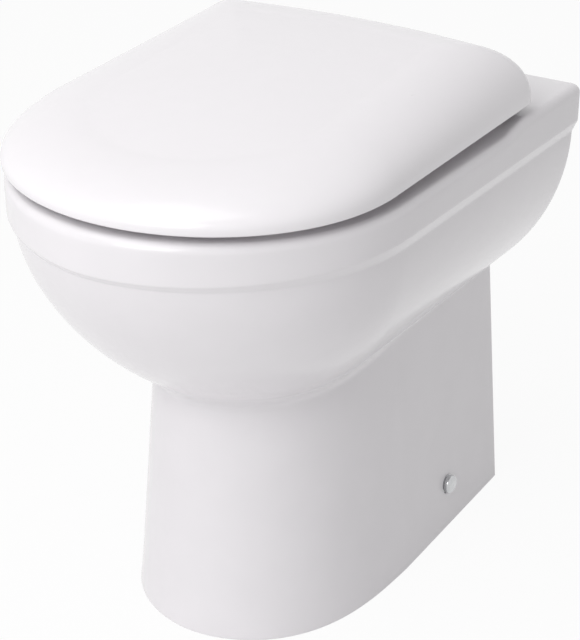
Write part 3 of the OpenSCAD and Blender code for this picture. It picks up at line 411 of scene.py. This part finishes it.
face_x = pedestal(rows(fix_z))[0][0, -1] + foot_taper * (wall_y - fix_y)
bolt_line = [[-1, bolt_hole], [24, bolt_hole]]
for s in (-1, 1):
    at = s * face_x
    spot_x0, spot_x1 = sorted([at - s * cap_sunk, at + s * 9])
    bores += [turned("deck_hole", bolt_line, [s * hinge_x, hinge_y, hollow_roof - 1]),
              across("side_hole", at - 26, at + 26, screw_hole, fix_y, fix_z),
              across("spot", spot_x0, spot_x1, cap_seat, fix_y, fix_z)]
carve(pan, ("DIFFERENCE", hollow_cut), *[("UNION", part) for part in bare_parts],
      *[("DIFFERENCE", part) for part in bores])
soften(pan)


def linear(colour):
    """sRGB hex colour as linear red, green, blue and alpha."""
    c = np.array([int(colour[i:i + 2], 16) for i in (1, 3, 5)]) / 255
    return (*np.where(c <= 0.04045, c / 12.92, ((c + 0.055) / 1.055) ** 2.4), 1.0)


def add(tree, kind, links=(), **settings):
    """Adds a node. Settings name its attributes, or its input sockets; links join sockets to
    inputs."""
    n = tree.nodes.new("ShaderNode" + kind)
    for key, value in settings.items():
        name = key.replace("_", " ")
        match = [s for s in n.inputs if s.name == name]
        if match:
            match[0].default_value = value
        else:
            setattr(n, key, value)
    for socket, source in dict(links).items():
        tree.links.new(source, n.inputs[socket])
    return n


def finish_of(material, constants):
    """Gives a material one Principled shader with constant values on the shader's own sockets."""
    material.use_nodes = True
    tree = material.node_tree
    tree.nodes.clear()
    shader = add(tree, "BsdfPrincipled")
    for socket, value in constants.items():
        shader.inputs[socket].default_value = value
    add(tree, "OutputMaterial", {"Surface": shader.outputs["BSDF"]})
    return tree, shader


def mottle(tree, shader, tint, dull, swell, colours, spread, rough, strength, depth_mm):
    """Three patterns work on a shader: one drifts its colour between two hex colours over the
    spread of the pattern, one its roughness between two values, one bends its surface."""
    tone = add(tree, "ValToRGB", {"Fac": tint.outputs["Fac"]})
    for stop, place, colour in zip(tone.color_ramp.elements, spread, colours):
        stop.position, stop.color = place, linear(colour)
    sheen = add(tree, "MapRange", {"Value": dull.outputs["Fac"]}, To_Min=rough[0], To_Max=rough[1])
    relief = add(tree, "Bump", {"Height": swell.outputs["Fac"]},
                 Strength=strength, Distance=depth_mm / 1000)
    tree.links.new(tone.outputs["Color"], shader.inputs["Base Color"])
    tree.links.new(sheen.outputs["Result"], shader.inputs["Roughness"])
    tree.links.new(relief.outputs["Normal"], shader.inputs["Normal"])
    return relief


# Glazed vitreous china: a dense white body under a fired glass of about half a millimetre. The
# glaze is sprayed, so it lies in faint waves some 15 mm apart and mirrors the room softly.
tree, shader = finish_of(glaze, {"IOR": 1.5, "Coat Weight": 0.2, "Coat Roughness": 0.04,
                                 "Coat IOR": 1.5, "Specular IOR Level": 0.3})
place = add(tree, "TexCoord").outputs["Object"]
cloud = add(tree, "TexNoise", {"Vector": place}, Scale=1 / 0.045, Detail=2.0, Roughness=0.5)
wave = add(tree, "TexNoise", {"Vector": place}, Scale=1 / 0.015, Detail=1.0, Roughness=0.4)
relief = mottle(tree, shader, cloud, cloud, wave, ("#EFECEF", "#F1EEF1"), (0.3, 0.7), (0.16, 0.24),
                0.25, 0.2)
tree.links.new(relief.outputs["Normal"], shader.inputs["Coat Normal"])

# The hollow stays unglazed: fired clay, creamier and quite dull, with a grain of about 2 mm.
tree, shader = finish_of(bare_china, {"IOR": 1.5, "Specular IOR Level": 0.3})
place = add(tree, "TexCoord").outputs["Object"]
cast = add(tree, "TexNoise", {"Vector": place}, Scale=1 / 0.06, Detail=3.0, Roughness=0.5)
grit = add(tree, "TexNoise", {"Vector": place}, Scale=1 / 0.002, Detail=3.0, Roughness=0.6)
mottle(tree, shader, cast, grit, grit, ("#E6E3DE", "#EDEBE7"), (0.35, 0.65), (0.65, 0.85),
       0.5, 0.2)
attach(pan, "pan")
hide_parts("pan")

# ---------------------------------------------------------------- floor fixings
# A pressed-steel bracket on each side is screwed to the floor inside the foot. A screw through the
# foot in a nylon sleeve holds the pan to it, and a chrome-plated cap snaps over the screw's head.
cap_r, cap_out, cap_round, cap_wall = 9.5, 7.5, 2.8, 1.0
cap_x = face_x - cap_sunk


def cap_profile(r, out, edge, wall):
    """Turned cup as [distance, radius]: up its outside over a snap groove, round the outer edge by
    a quarter circle, over a face that bows out by a quarter of a millimetre, and back inside."""
    a = np.linspace(0, np.pi / 2, 8)
    rim = [[0, r - wall], [0, r - 0.3], [0.3, r], [1.1, r], [1.4, r - 0.5], [1.9, r - 0.5],
           [2.2, r - 0.1]]
    edge_d, edge_r = out - 0.25 - edge * (1 - np.sin(a)), r - 0.1 - edge * (1 - np.cos(a))
    face_r = np.linspace(1, 0.04, 7)[1:] * edge_r[-1]
    face_d = out - 0.25 * (face_r / edge_r[-1]) ** 2
    in_d, in_r = out - wall - 0.4, r - wall
    inner = [[in_d, 0.1], [in_d, in_r - 1], [in_d - 1, in_r]]
    return np.concatenate([rim, np.column_stack([edge_d, edge_r]),
                           np.column_stack([face_d, face_r]), inner])


def metal(name, colours, rough, blotch_mm, wave_mm, wave_depth):
    """Metal finish: colour and roughness drift over blotches of the given size, and a bump of
    waves bends what it mirrors."""
    material = bpy.data.materials.new(name)
    tree, shader = finish_of(material, {"Metallic": 1.0})
    place = add(tree, "TexCoord").outputs["Object"]
    blotch = add(tree, "TexNoise", {"Vector": place}, Scale=1000 / blotch_mm, Detail=4.0,
                 Roughness=0.55)
    wave = add(tree, "TexNoise", {"Vector": place}, Scale=1000 / wave_mm, Detail=2.0,
               Roughness=0.5)
    mottle(tree, shader, blotch, blotch, wave, colours, (0.35, 0.65), rough, 0.5, wave_depth)
    return material


def moulded(name, colours, rough, grain_mm, grain_depth, ior):
    """Moulded plastic or rubber: colour, roughness and surface follow a fine grain of the given
    size."""
    material = bpy.data.materials.new(name)
    tree, shader = finish_of(material, {"IOR": ior})
    place = add(tree, "TexCoord").outputs["Object"]
    grain = add(tree, "TexNoise", {"Vector": place}, Scale=1000 / grain_mm, Detail=3.0,
                Roughness=0.6)
    mottle(tree, shader, grain, grain, grain, colours, (0.3, 0.7), rough, 0.6, grain_depth)
    return material


def dress(material, *names):
    """Gives the CAD solids of these names, on both sides where they come in pairs, a material."""
    for name in names:
        for node in (name, name + "_right", name + "_left"):
            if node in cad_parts:
                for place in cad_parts[node].material_slots:
                    place.material = material


def fit_out(piece, material, body, node):
    """Gives a finished piece its material and body, and hides the CAD node it stands in for."""
    piece.data.materials.clear()
    piece.data.materials.append(material)
    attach(piece, body)
    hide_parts(node)


# Chrome plate: a bright, slightly blue mirror whose waves come from the casting or moulding below.
chrome = metal("bright_chrome_plate", ("#BDBEC0", "#C9CACB"), (0.06, 0.12), 9.0, 6.0, 0.02)
for s, hand in ((1, "right"), (-1, "left")):
    cup = cap_profile(cap_r, cap_out, cap_round, cap_wall) * [s, 1]
    cap = turned("side_cap_" + hand + "_turned", cup, [s * cap_x, fix_y, fix_z], "x", 96)
    fit_out(soften(cap), chrome, "pan", "side_cap_" + hand)

# Electroplated zinc on mild steel: grey with a cold cast, clouded by its spangle a few mm across.
zinc = metal("zinc_plated_steel", ("#A9ADB1", "#C0C3C6"), (0.42, 0.56), 4.0, 1.5, 0.03)
dress(zinc, "floor_bracket", "side_screw")
# Nylon 6: milky white, slightly rough from its mould.
nylon = moulded("moulded_nylon", ("#D6D4CB", "#DEDCD4"), (0.38, 0.5), 3.0, 0.02, 1.53)
dress(nylon, "side_sleeve")

# ---------------------------------------------------------------- seat fixings and hinge posts
# Each seat bolt comes up through a hole in the deck with a washer and a rubber sleeve, and pulls a
# hinge post of chrome-plated zinc down on its gasket. The post's foot flows into a narrow stem.
gasket_thick, post_foot = 1.5, 4
foot_top = rim_height + deck_rise + gasket_thick + post_foot
post_half, stem_half_x, stem_half_y, post_foot_r = 10.5, 9.5, 7.2, 15
post_x0, post_x1 = hinge_x - post_half, hinge_x + post_half
barrel_r, pin_bore, bolt_bore = 8.5, 4.05, 3.05


def stem(cx, cy):
    """Foot and stem of a hinge post, level by level. Each level is a superellipse whose power
    climbs from 2, a circle, at the foot to 7, almost a rectangle, in the stem, while its half
    widths shrink."""
    up = np.linspace(0, 1, 16)
    z = np.concatenate([[-4, -3.7, -1.0, -0.3, 0.0], 0.2 + 9 * up, [12, 20, 30.5]])
    k = np.concatenate([[1, 1, 1, 1, 1], (1 - up) ** 2.6, [0, 0, 0]])
    edge = np.concatenate([[-0.3, 0, 0, -0.3, -1.0], -1.6 * (1 - up), [0, 0, 0]])
    hx = rows(mix(stem_half_x, post_foot_r, k) + edge)
    hy = rows(mix(stem_half_y, post_foot_r, k) + edge)
    power, my = rows(mix(7, 2, k ** 0.6)), rows(mix(-0.85, 0, k))
    a = np.linspace(0, 2 * np.pi, 65)[None, :-1]
    x = hx * np.sign(np.cos(a)) * np.abs(np.cos(a)) ** (2 / power)
    y = hy * np.sign(np.sin(a)) * np.abs(np.sin(a)) ** (2 / power) + my
    return surface("stem", 0.001 * np.stack([x + cx, y + cy, rows(z) + foot_top + 0 * x], axis=2))


def barrel(name, x0, x1, edge=0.6):
    """Round barrel about the hinge axis, its end edges turned by a quarter circle."""
    a, r = np.linspace(0, np.pi / 2, 5), barrel_r
    near = np.column_stack([x0 + edge * (1 - np.sin(a)), r - edge * (1 - np.cos(a))])[::-1]
    far = np.column_stack([x1 - edge * (1 - np.sin(a)), r - edge * (1 - np.cos(a))])
    return turned(name, np.concatenate([near, far]), [0, hinge_y, hinge_z], "x")


for s, hand in ((1, "right"), (-1, "left")):
    x0, x1 = sorted([s * post_x0, s * post_x1])
    thread = turned("bolt_bore", [[-5, bolt_bore], [16, bolt_bore]],
                    [s * hinge_x, hinge_y, foot_top])
    post = stem(s * hinge_x, hinge_y)
    post.name = "hinge_post_" + hand + "_cast"
    carve(post, ("UNION", barrel("post_barrel", x0, x1, 1.0)),
          ("DIFFERENCE", across("pin_bore", x0 - 1, x1 + 1, pin_bore, hinge_y, hinge_z)),
          ("DIFFERENCE", thread))
    fit_out(soften(post), chrome, "pan", "hinge_post_" + hand)

# Turned stainless steel: a warm grey with a fine lay left by the tool.
steel = metal("turned_stainless_steel", ("#94938F", "#A4A29E"), (0.2, 0.3), 2.5, 0.8, 0.01)
dress(steel, "hinge_pin")
dress(zinc, "seat_bolt", "seat_washer")
# Black EPDM rubber: dull, with the faint bloom of its fillers.
black_rubber = moulded("black_rubber", ("#2A2A2A", "#343434"), (0.6, 0.78), 2.0, 0.05, 1.52)
dress(black_rubber, "seat_sleeve", "hinge_gasket")

# ---------------------------------------------------------------- seat ring
# The ring is pressed from the same white urea as the lid. Its top rolls down to a thin outer edge
# and dips into the opening; four rubber buffers hold it off the rim, and two arms carry its
# barrels.
lid_width, lid_front, ring_in = 356.5, front_y + 6, 9.7
lid_mid, seat_x_power, seat_y_power, seat_taper = front_y + 170.5, 1.975, 2.1, 0.022
ring_z, ring_thick, ring_corner = rim_height + 8, 14.0, 30
ring_top, ring_rear = ring_z + ring_thick, hinge_y - 31
ring_nose, ring_half = lid_front + ring_in, lid_width / 2 - ring_in
ring_edge_r, ring_roll, ring_roll_high, ring_dip, ring_dip_deep = 1.5, 18, 9, 20, 9.5
open_nose, open_half, open_len = ring_nose + 52, 112.0, 272.0
open_turn = np.linspace(0, np.pi / 2, along.size + corner.size + 17)[1:]


def ring_edge(inset):
    """Outer edge of the seat ring, inset from the outside: nose, side, round rear corner, straight
    rear."""
    r, end = ring_corner - inset, ring_rear - inset
    x, y = outline(ring_half - inset, ring_nose + inset, lid_mid + 0 * inset,
                   seat_x_power, seat_y_power, end - r, seat_taper)
    xc = x[:, -1:] - r
    back = np.linspace(1, 0, 17)[1:]
    return np.hstack([x, xc + r * np.cos(corner), xc * back]), np.hstack(
        [y, end + r * (np.sin(corner) - 1), end + 0 * xc * back])


def ring_hole(g):
    """Opening in the seat ring, grown by g: an egg with its wide end at the back."""
    w, mid_y, rear = open_half + g, open_nose + 0.48 * open_len, open_nose + open_len + g
    x0, x1 = w * np.sin(turn) ** (2 / 2.1), w * np.cos(open_turn) ** (2 / egg_power)
    y0 = mid_y + (open_nose - g - mid_y) * np.cos(turn)
    y1 = mid_y + (rear - mid_y) * np.sin(open_turn) ** (2 / egg_power)
    return np.hstack([x0, x1]), np.hstack([y0, y1])


q = np.linspace(0, np.pi / 2, 14)[:, None]
under_a = np.linspace(0, np.pi / 2, 5)[:, None]
under_in = ring_edge_r * (1 - np.sin(under_a))
under_z = ring_z + ring_edge_r * (1 - np.cos(under_a))
roll_z = ring_top - ring_roll_high + ring_roll_high * np.sin(q)
dip = ring_dip * (1 - np.sin(np.linspace(0, np.pi / 2, 18)))[:, None]
dip_up = np.sqrt(np.clip(1 - (1 - dip / ring_dip) ** 2, 0, 1))
flat_t = np.linspace(0, 1, 7)[1:-1, None]
(flat_x0, flat_y0), (flat_x1, flat_y1) = ring_edge(rows(ring_roll)), ring_hole(rows(ring_dip))
ring_loops = [
    ring(*ring_hole(under_in), under_z)[::-1],
    ring(*ring_edge(under_in), under_z),
    ring(*ring_edge(ring_roll * (1 - np.cos(q))), roll_z),
    ring(mix(flat_x0, flat_x1, flat_t), mix(flat_y0, flat_y1, flat_t), ring_top + 0 * flat_t),
    ring(*ring_hole(dip), ring_top - ring_dip_deep + ring_dip_deep * dip_up),
]
seat = surface("seat_ring_pressed", np.concatenate(ring_loops), closed=True)


def blade(name, points, x0, x1):
    """Flat web in the middle plane's direction: a polygon of [y, z] between two stations across,
    its edges rounded by a bevel of 1.2 mm."""
    p = np.array(points, float)
    if np.sum(p[:, 0] * np.roll(p[:, 1], -1) - p[:, 1] * np.roll(p[:, 0], -1)) < 0:
        p = p[::-1]
    loops = [np.column_stack([np.full(len(p), x), p]) for x in (x0, x1)]
    web = surface(name, 0.001 * np.array(loops))
    soft_edge = web.modifiers.new("edge", "BEVEL")
    soft_edge.width, soft_edge.segments = 0.0012, 3
    return web


# Barrels stand in a row on the pins: a long one holds a damper, a short one a bush.
barrel_gap, long_barrel, short_barrel, end_wall = 0.5, 44, 12.5, 2
damper_bore, bush_bore, stem_bore, stem_hole_deep = 6.35, 6.05, 2.6, 5.5
inner_x0, outer_x0 = post_x0 - barrel_gap, post_x1 + barrel_gap
reach_y = ring_rear - 20
arm = [[reach_y, ring_z + 1], [ring_rear - 1, ring_z + 1],
       [hinge_y + 0.7 * barrel_r, hinge_z - 0.7 * barrel_r],
       [hinge_y - 0.5 * barrel_r, hinge_z + 0.8 * barrel_r], [reach_y, ring_top - 0.6]]
ring_long, ring_short = inner_x0 - long_barrel, -inner_x0 + short_barrel
steps = []
for x0, x1 in ((ring_long, inner_x0), (-inner_x0, ring_short)):
    steps += [("UNION", blade("arm", arm, x0, x1)), ("UNION", barrel("ring_barrel", x0, x1))]
for x0, x1, r in ((ring_long + end_wall, inner_x0 + 1, damper_bore),
                  (-inner_x0 - 1, ring_short + 1, bush_bore)):
    steps.append(("DIFFERENCE", across("hinge_bore", x0, x1, r, hinge_y, hinge_z)))
buffer_at = {"front": (119.252, front_y + 89.017, 42), "rear": (150.7, front_y + 243, 90)}
stem_line = [[-1, stem_bore], [stem_hole_deep, stem_bore]]
for s in (-1, 1):
    for bx, by, _ in buffer_at.values():
        steps.append(("DIFFERENCE", turned("stem_hole", stem_line, [s * bx, by, ring_z])))
carve(seat, *steps)
soften(seat)

# Pressed urea: a hard white plastic polished by its mould. It is a shade brighter than the china,
# with no waves, only the faintest grain of its filler.
urea = bpy.data.materials.new("polished_white_urea")
tree, shader = finish_of(urea, {"IOR": 1.55, "Coat Weight": 0.3, "Coat Roughness": 0.08,
                                "Specular IOR Level": 0.4})
place = add(tree, "TexCoord").outputs["Object"]
grain = add(tree, "TexNoise", {"Vector": place}, Scale=1 / 0.02, Detail=3.0, Roughness=0.6)
mottle(tree, shader, grain, grain, grain, ("#F5F2F5", "#F7F4F7"), (0.0, 1.0), (0.2, 0.28), 0.1, 0.1)
fit_out(seat, urea, "seat_ring", "seat_ring")

# Acetal: a dense grey plastic that slides well; the dampers and bushes are moulded from it.
acetal = moulded("moulded_acetal", ("#3A3B3D", "#434446"), (0.35, 0.48), 2.0, 0.02, 1.48)
dress(acetal, "ring_damper", "ring_bush")


def pad(name, cx, cy, turned_by, z0, z1):
    """Ring buffer: a stadium 26 by 11 mm, level by level, its lower edge rounded by 1.2 mm and its
    upper one by 0.4, with a round stem on top."""
    a = np.linspace(0, 2 * np.pi, 65)[:-1]
    low, high = 1.2 * (1 - np.sin(under_a)), 0.4 * (1 - np.sin(under_a[::-1]))
    r = 5.5 - rows(low, high)
    z = rows(z0 + 1.2 * (1 - np.cos(under_a)), z1 - 0.4 * (1 - np.cos(under_a[::-1])))
    z, r = rows(z, z1, z1 + 4.6, z1 + 5), rows(r, 2.5, 2.5, 2.1)
    reach = rows(np.full(10, 7.5), 0, 0, 0)
    u, v = r * np.cos(a) + reach * np.sign(np.cos(a)), r * np.sin(a)
    c, d = math.cos(math.radians(turned_by)), math.sin(math.radians(turned_by))
    return surface(name, 0.001 * np.stack(
        [u * c - v * d + cx, u * d + v * c + cy, z + 0 * u], axis=2))


# Thermoplastic rubber in off-white: soft to the eye, and slightly tacky.
pale_rubber = moulded("pale_rubber", ("#CFCECA", "#D8D7D3"), (0.5, 0.62), 2.0, 0.03, 1.5)
seat_clear = 0.3
for end, (bx, by, angle) in buffer_at.items():
    for s, hand in ((1, "right"), (-1, "left")):
        node = "ring_buffer_" + end + "_" + hand
        buffer = pad(node + "_moulded", s * bx, by, s * angle, rim_height + seat_clear, ring_z)
        fit_out(soften(buffer), pale_rubber, "seat_ring", node)

# ---------------------------------------------------------------- lid
# Wrap-over lid of urea, pressed hot in a steel mould: a shell 3.2 mm thick whose roll falls to
# just over the rim. A cut-out at its rear clears the hinge posts, and three arms carry its barrels.
lid_length, lid_corner, rear_bow = 417.2, 13.0, 11.8
lid_rear = lid_front + lid_length
lid_cy, lid_half = (lid_front + lid_rear) / 2, lid_length / 2
lid_wall, lid_roll, lid_skirt, lip_up = 3.2, 70.6, 6.0, 1.6
lid_gap, lid_fall, roll_mid, roll_slope, crown_rise = 9.4, 4.7, 41.0, 19.8, 5.6
cut_y, cut_x = hinge_y - 12, 102.0


def lid_outline():
    """Lower edge of the lid: nose, side, round rear corner and bowed rear edge."""
    x, y = outline(rows(lid_width / 2), lid_front, rows(lid_mid), seat_x_power, seat_y_power,
                   lid_rear - lid_corner, seat_taper)
    xc = x[0, -1] - lid_corner
    back = np.linspace(1, 0, 33)[1:]
    return np.concatenate([x[0], xc + lid_corner * np.cos(corner), xc * back]), np.concatenate(
        [y[0], lid_rear + lid_corner * (np.sin(corner) - 1), lid_rear + rear_bow * (1 - back ** 2)])


def lid_low(y):
    """Height of the lid's lower edge, which falls towards the front."""
    return rim_height + lid_gap + lid_fall * (y - lid_cy) / lid_half


def roll_height(y):
    """Height of the roll over the skirt, which grows towards the rear."""
    return roll_mid + roll_slope * (y - lid_cy) / lid_half


def lid_at(b, d):
    """Roll from the side to the top: a quarter ellipse at angle b, d below the outer surface."""
    px, py = lid_outline()
    inset = lid_roll * (1 - np.cos(b)) + d * np.cos(b)
    y = lid_cy + (py - lid_cy) * (1 - inset / lid_half)
    x = px * (1 - 2 * inset / lid_width)
    return x, y, lid_low(y) + lid_skirt + (roll_height(y) - d) * np.sin(b)


def crown_at(f, d):
    """Top of the lid: the loop shrinks by f towards the middle, turns into an ellipse and rises by
    the crown's height times one less f squared."""
    ex, ey, _ = lid_at(np.pi / 2 + 0 * f, 0)
    vx, vy = ex / (lid_width / 2 - lid_roll), (ey - lid_cy) / (lid_half - lid_roll)
    k = f * mix(1, 1 / np.hypot(vx, vy), smooth(1 - f))
    y = lid_cy + (lid_half - lid_roll) * vy * k
    top = lid_low(y) + lid_skirt + roll_height(y) + crown_rise * (1 - f * f) - d
    return (lid_width / 2 - lid_roll) * vx * k, y, top


def lid_lip(inset, up):
    """Lower edge of the lid's wall, inset from the outside and up from the edge."""
    x, y, _ = lid_at(0 * inset, inset)
    return x, y, lid_low(y) + lip_up + up


lip_a = np.linspace(0, np.pi, 9)[:, None]
lid_loops = [
    ring(*crown_at(rows(np.linspace(0.02, 0.94, 18)), lid_wall)),
    ring(*lid_at(rows(np.linspace(np.pi / 2, 0, 22)), lid_wall)),
    ring(*lid_lip(lid_wall / 2 * (1 + np.cos(lip_a)), lid_wall / 2 * (1 - np.sin(lip_a)))),
    ring(*lid_at(rows(np.linspace(0, np.pi / 2, 40)), 0)),
    ring(*crown_at(rows(np.linspace(0.97, 0.02, 32)), 0)),
]
lid = surface("lid_shell", np.concatenate(lid_loops))


def lid_z(x, y):
    """Height of the lid's outer surface near its rear edge."""
    edge = lid_rear + rear_bow * (1 - (2 * x / lid_width) ** 2)
    inset = lid_half * (1 - (y - lid_cy) / (edge - lid_cy))
    rise = math.sqrt(1 - max(0, 1 - inset / lid_roll) ** 2)
    return lid_low(y) + lid_skirt + roll_height(y) * rise


# Three arms run down from under the roll, at the height it has at each arm's middle.
lid_short = outer_x0 + short_barrel
lid_long_x0 = -inner_x0 + short_barrel + barrel_gap
lid_long_x1 = lid_long_x0 + long_barrel
arm_back, arm_in, arm_deep = cut_y - 24, 1.8, 7.8
steps = [("DIFFERENCE", block("rear_cut", [-cut_x, cut_y, 440], [cut_x, 300, 530], 5))]
for x0, x1 in ((outer_x0, lid_short), (-lid_short, -outer_x0), (lid_long_x0, lid_long_x1)):
    x = abs(x0 + x1) / 2
    points = [[hinge_y - 0.6 * barrel_r, hinge_z - 0.75 * barrel_r],
              [hinge_y + 0.1 * barrel_r, hinge_z + 0.9 * barrel_r],
              [cut_y, lid_z(x, cut_y) - arm_in], [arm_back, lid_z(x, arm_back) - arm_in],
              [arm_back, lid_z(x, arm_back) - arm_deep]]
    steps += [("UNION", blade("arm", points, x0, x1)), ("UNION", barrel("lid_barrel", x0, x1))]
for x0, x1, r in ((outer_x0 - 1, lid_short - end_wall, bush_bore),
                  (-lid_short + end_wall, -outer_x0 + 1, bush_bore),
                  (lid_long_x0 - 1, lid_long_x1 - end_wall, damper_bore)):
    steps.append(("DIFFERENCE", across("lid_bore", x0, x1, r, hinge_y, hinge_z)))
studs = {"front": (103.277, front_y + 101.698, 479.6), "rear": (128.793, front_y + 270.961, 498.5)}
stud_low, stud_high = ring_top + seat_clear, 4.5
boss_z = stud_low + stud_high
for s in (-1, 1):
    for bx, by, roof in studs.values():
        boss = [[0, 6.4], [0.6, 7], [roof - stud_low - stud_high, 7.4]]
        steps += [("UNION", turned("boss", boss, [s * bx, by, boss_z])),
                  ("DIFFERENCE", turned("stem_hole", stem_line, [s * bx, by, boss_z]))]
carve(lid, *steps)
soften(lid)
fit_out(lid, urea, "lid", "lid")
dress(acetal, "lid_damper", "lid_bush")

# The lid's buffers are round rubber studs, pressed into short bosses under its roll.
stud_profile = [[0, 4.4], [0.3, 5.0], [1.0, 5.4], [1.8, 5.5], [4.2, 5.5], [4.5, 5.2], [4.5, 2.5],
                [9.1, 2.5], [9.5, 2.1]]
for end, (bx, by, _) in studs.items():
    for s, hand in ((1, "right"), (-1, "left")):
        node = "lid_buffer_" + end + "_" + hand
        stud = turned(node + "_moulded", stud_profile, [s * bx, by, stud_low])
        fit_out(soften(stud), pale_rubber, "lid", node)

# ---------------------------------------------------------------- floor, light and camera
# A white floor in a white room. A wide lamp hangs high before the pan, a little to the left, a
# smaller one stands straight before it, and the world adds the rest. To the camera the floor is
# nearly as white as the room, and it keeps a faint shadow.
floor_reach, floor_white, room_light = 6, 0.93, 0.44
floor_mesh = bpy.data.meshes.new("floor")
floor_mesh.from_pydata([(-floor_reach, -floor_reach, 0), (floor_reach, -floor_reach, 0),
                        (floor_reach, floor_reach, 0), (-floor_reach, floor_reach, 0)],
                       [], [(0, 1, 2, 3)])
floor = bpy.data.objects.new("floor", floor_mesh)
bpy.context.collection.objects.link(floor)
paper = bpy.data.materials.new("pale_floor")
paper.use_nodes = True
tree = paper.node_tree
tree.nodes.clear()
path = add(tree, "LightPath").outputs
seen = add(tree, "Math", {0: path["Is Camera Ray"], 1: path["Is Glossy Ray"]}, operation="MAXIMUM")
share = add(tree, "Math", {0: seen.outputs[0]}, operation="MULTIPLY")
share.inputs[1].default_value = floor_white
matt = add(tree, "BsdfDiffuse", Color=linear("#F2F2F2"))
glow = add(tree, "Emission", Color=(1, 1, 1, 1), Strength=1.0)
both = add(tree, "MixShader", {0: share.outputs[0], 1: matt.outputs[0], 2: glow.outputs[0]})
add(tree, "OutputMaterial", {"Surface": both.outputs[0]})
floor_mesh.materials.append(paper)

world = bpy.data.worlds.new("white_room")
bpy.context.scene.world = world
world.use_nodes = True
tree = world.node_tree
tree.nodes.clear()
path = add(tree, "LightPath").outputs
seen = add(tree, "Math", {0: path["Is Camera Ray"], 1: path["Is Glossy Ray"]}, operation="MAXIMUM")
seen = add(tree, "Math", {0: seen.outputs[0], 1: path["Is Transmission Ray"]}, operation="MAXIMUM")
level = add(tree, "MapRange", {"Value": seen.outputs[0]}, To_Min=room_light, To_Max=1.0)
sky = add(tree, "Background", {"Strength": level.outputs["Result"]}, Color=(1, 1, 1, 1))
add(tree, "OutputWorld", {"Surface": sky.outputs[0]})


def lamp(name, place, size, power):
    """Square soft lamp at a place, turned to face the middle of the pan."""
    light = bpy.data.lights.new(name, "AREA")
    light.size, light.energy = size, power
    thing = bpy.data.objects.new(name, light)
    bpy.context.collection.objects.link(thing)
    d = np.array([0, 0, 0.25]) - place
    tilt = math.acos(-d[2] / np.linalg.norm(d))
    thing.location = place
    thing.rotation_euler = (tilt, 0, math.atan2(d[1], d[0]) - math.pi / 2)
    thing.visible_camera = False
    return thing


lamp("key", (-0.63, -1.10, 2.97), 2.2, 24)
lamp("front", (0, -2.46, 1.97), 1.4, 32)

camera = bpy.data.cameras.new("camera")
camera.sensor_fit = "HORIZONTAL"
camera.sensor_width, camera.lens = 36, 108.183
viewer = bpy.data.objects.new("camera", camera)
bpy.context.collection.objects.link(viewer)
viewer.location = (0.814163, -1.180445, 0.967781)
viewer.rotation_euler = [math.radians(angle) for angle in (63.7106, 0.1372, 33.8489)]
bpy.context.scene.camera = viewer
bpy.context.scene.view_settings.view_transform = "Standard"
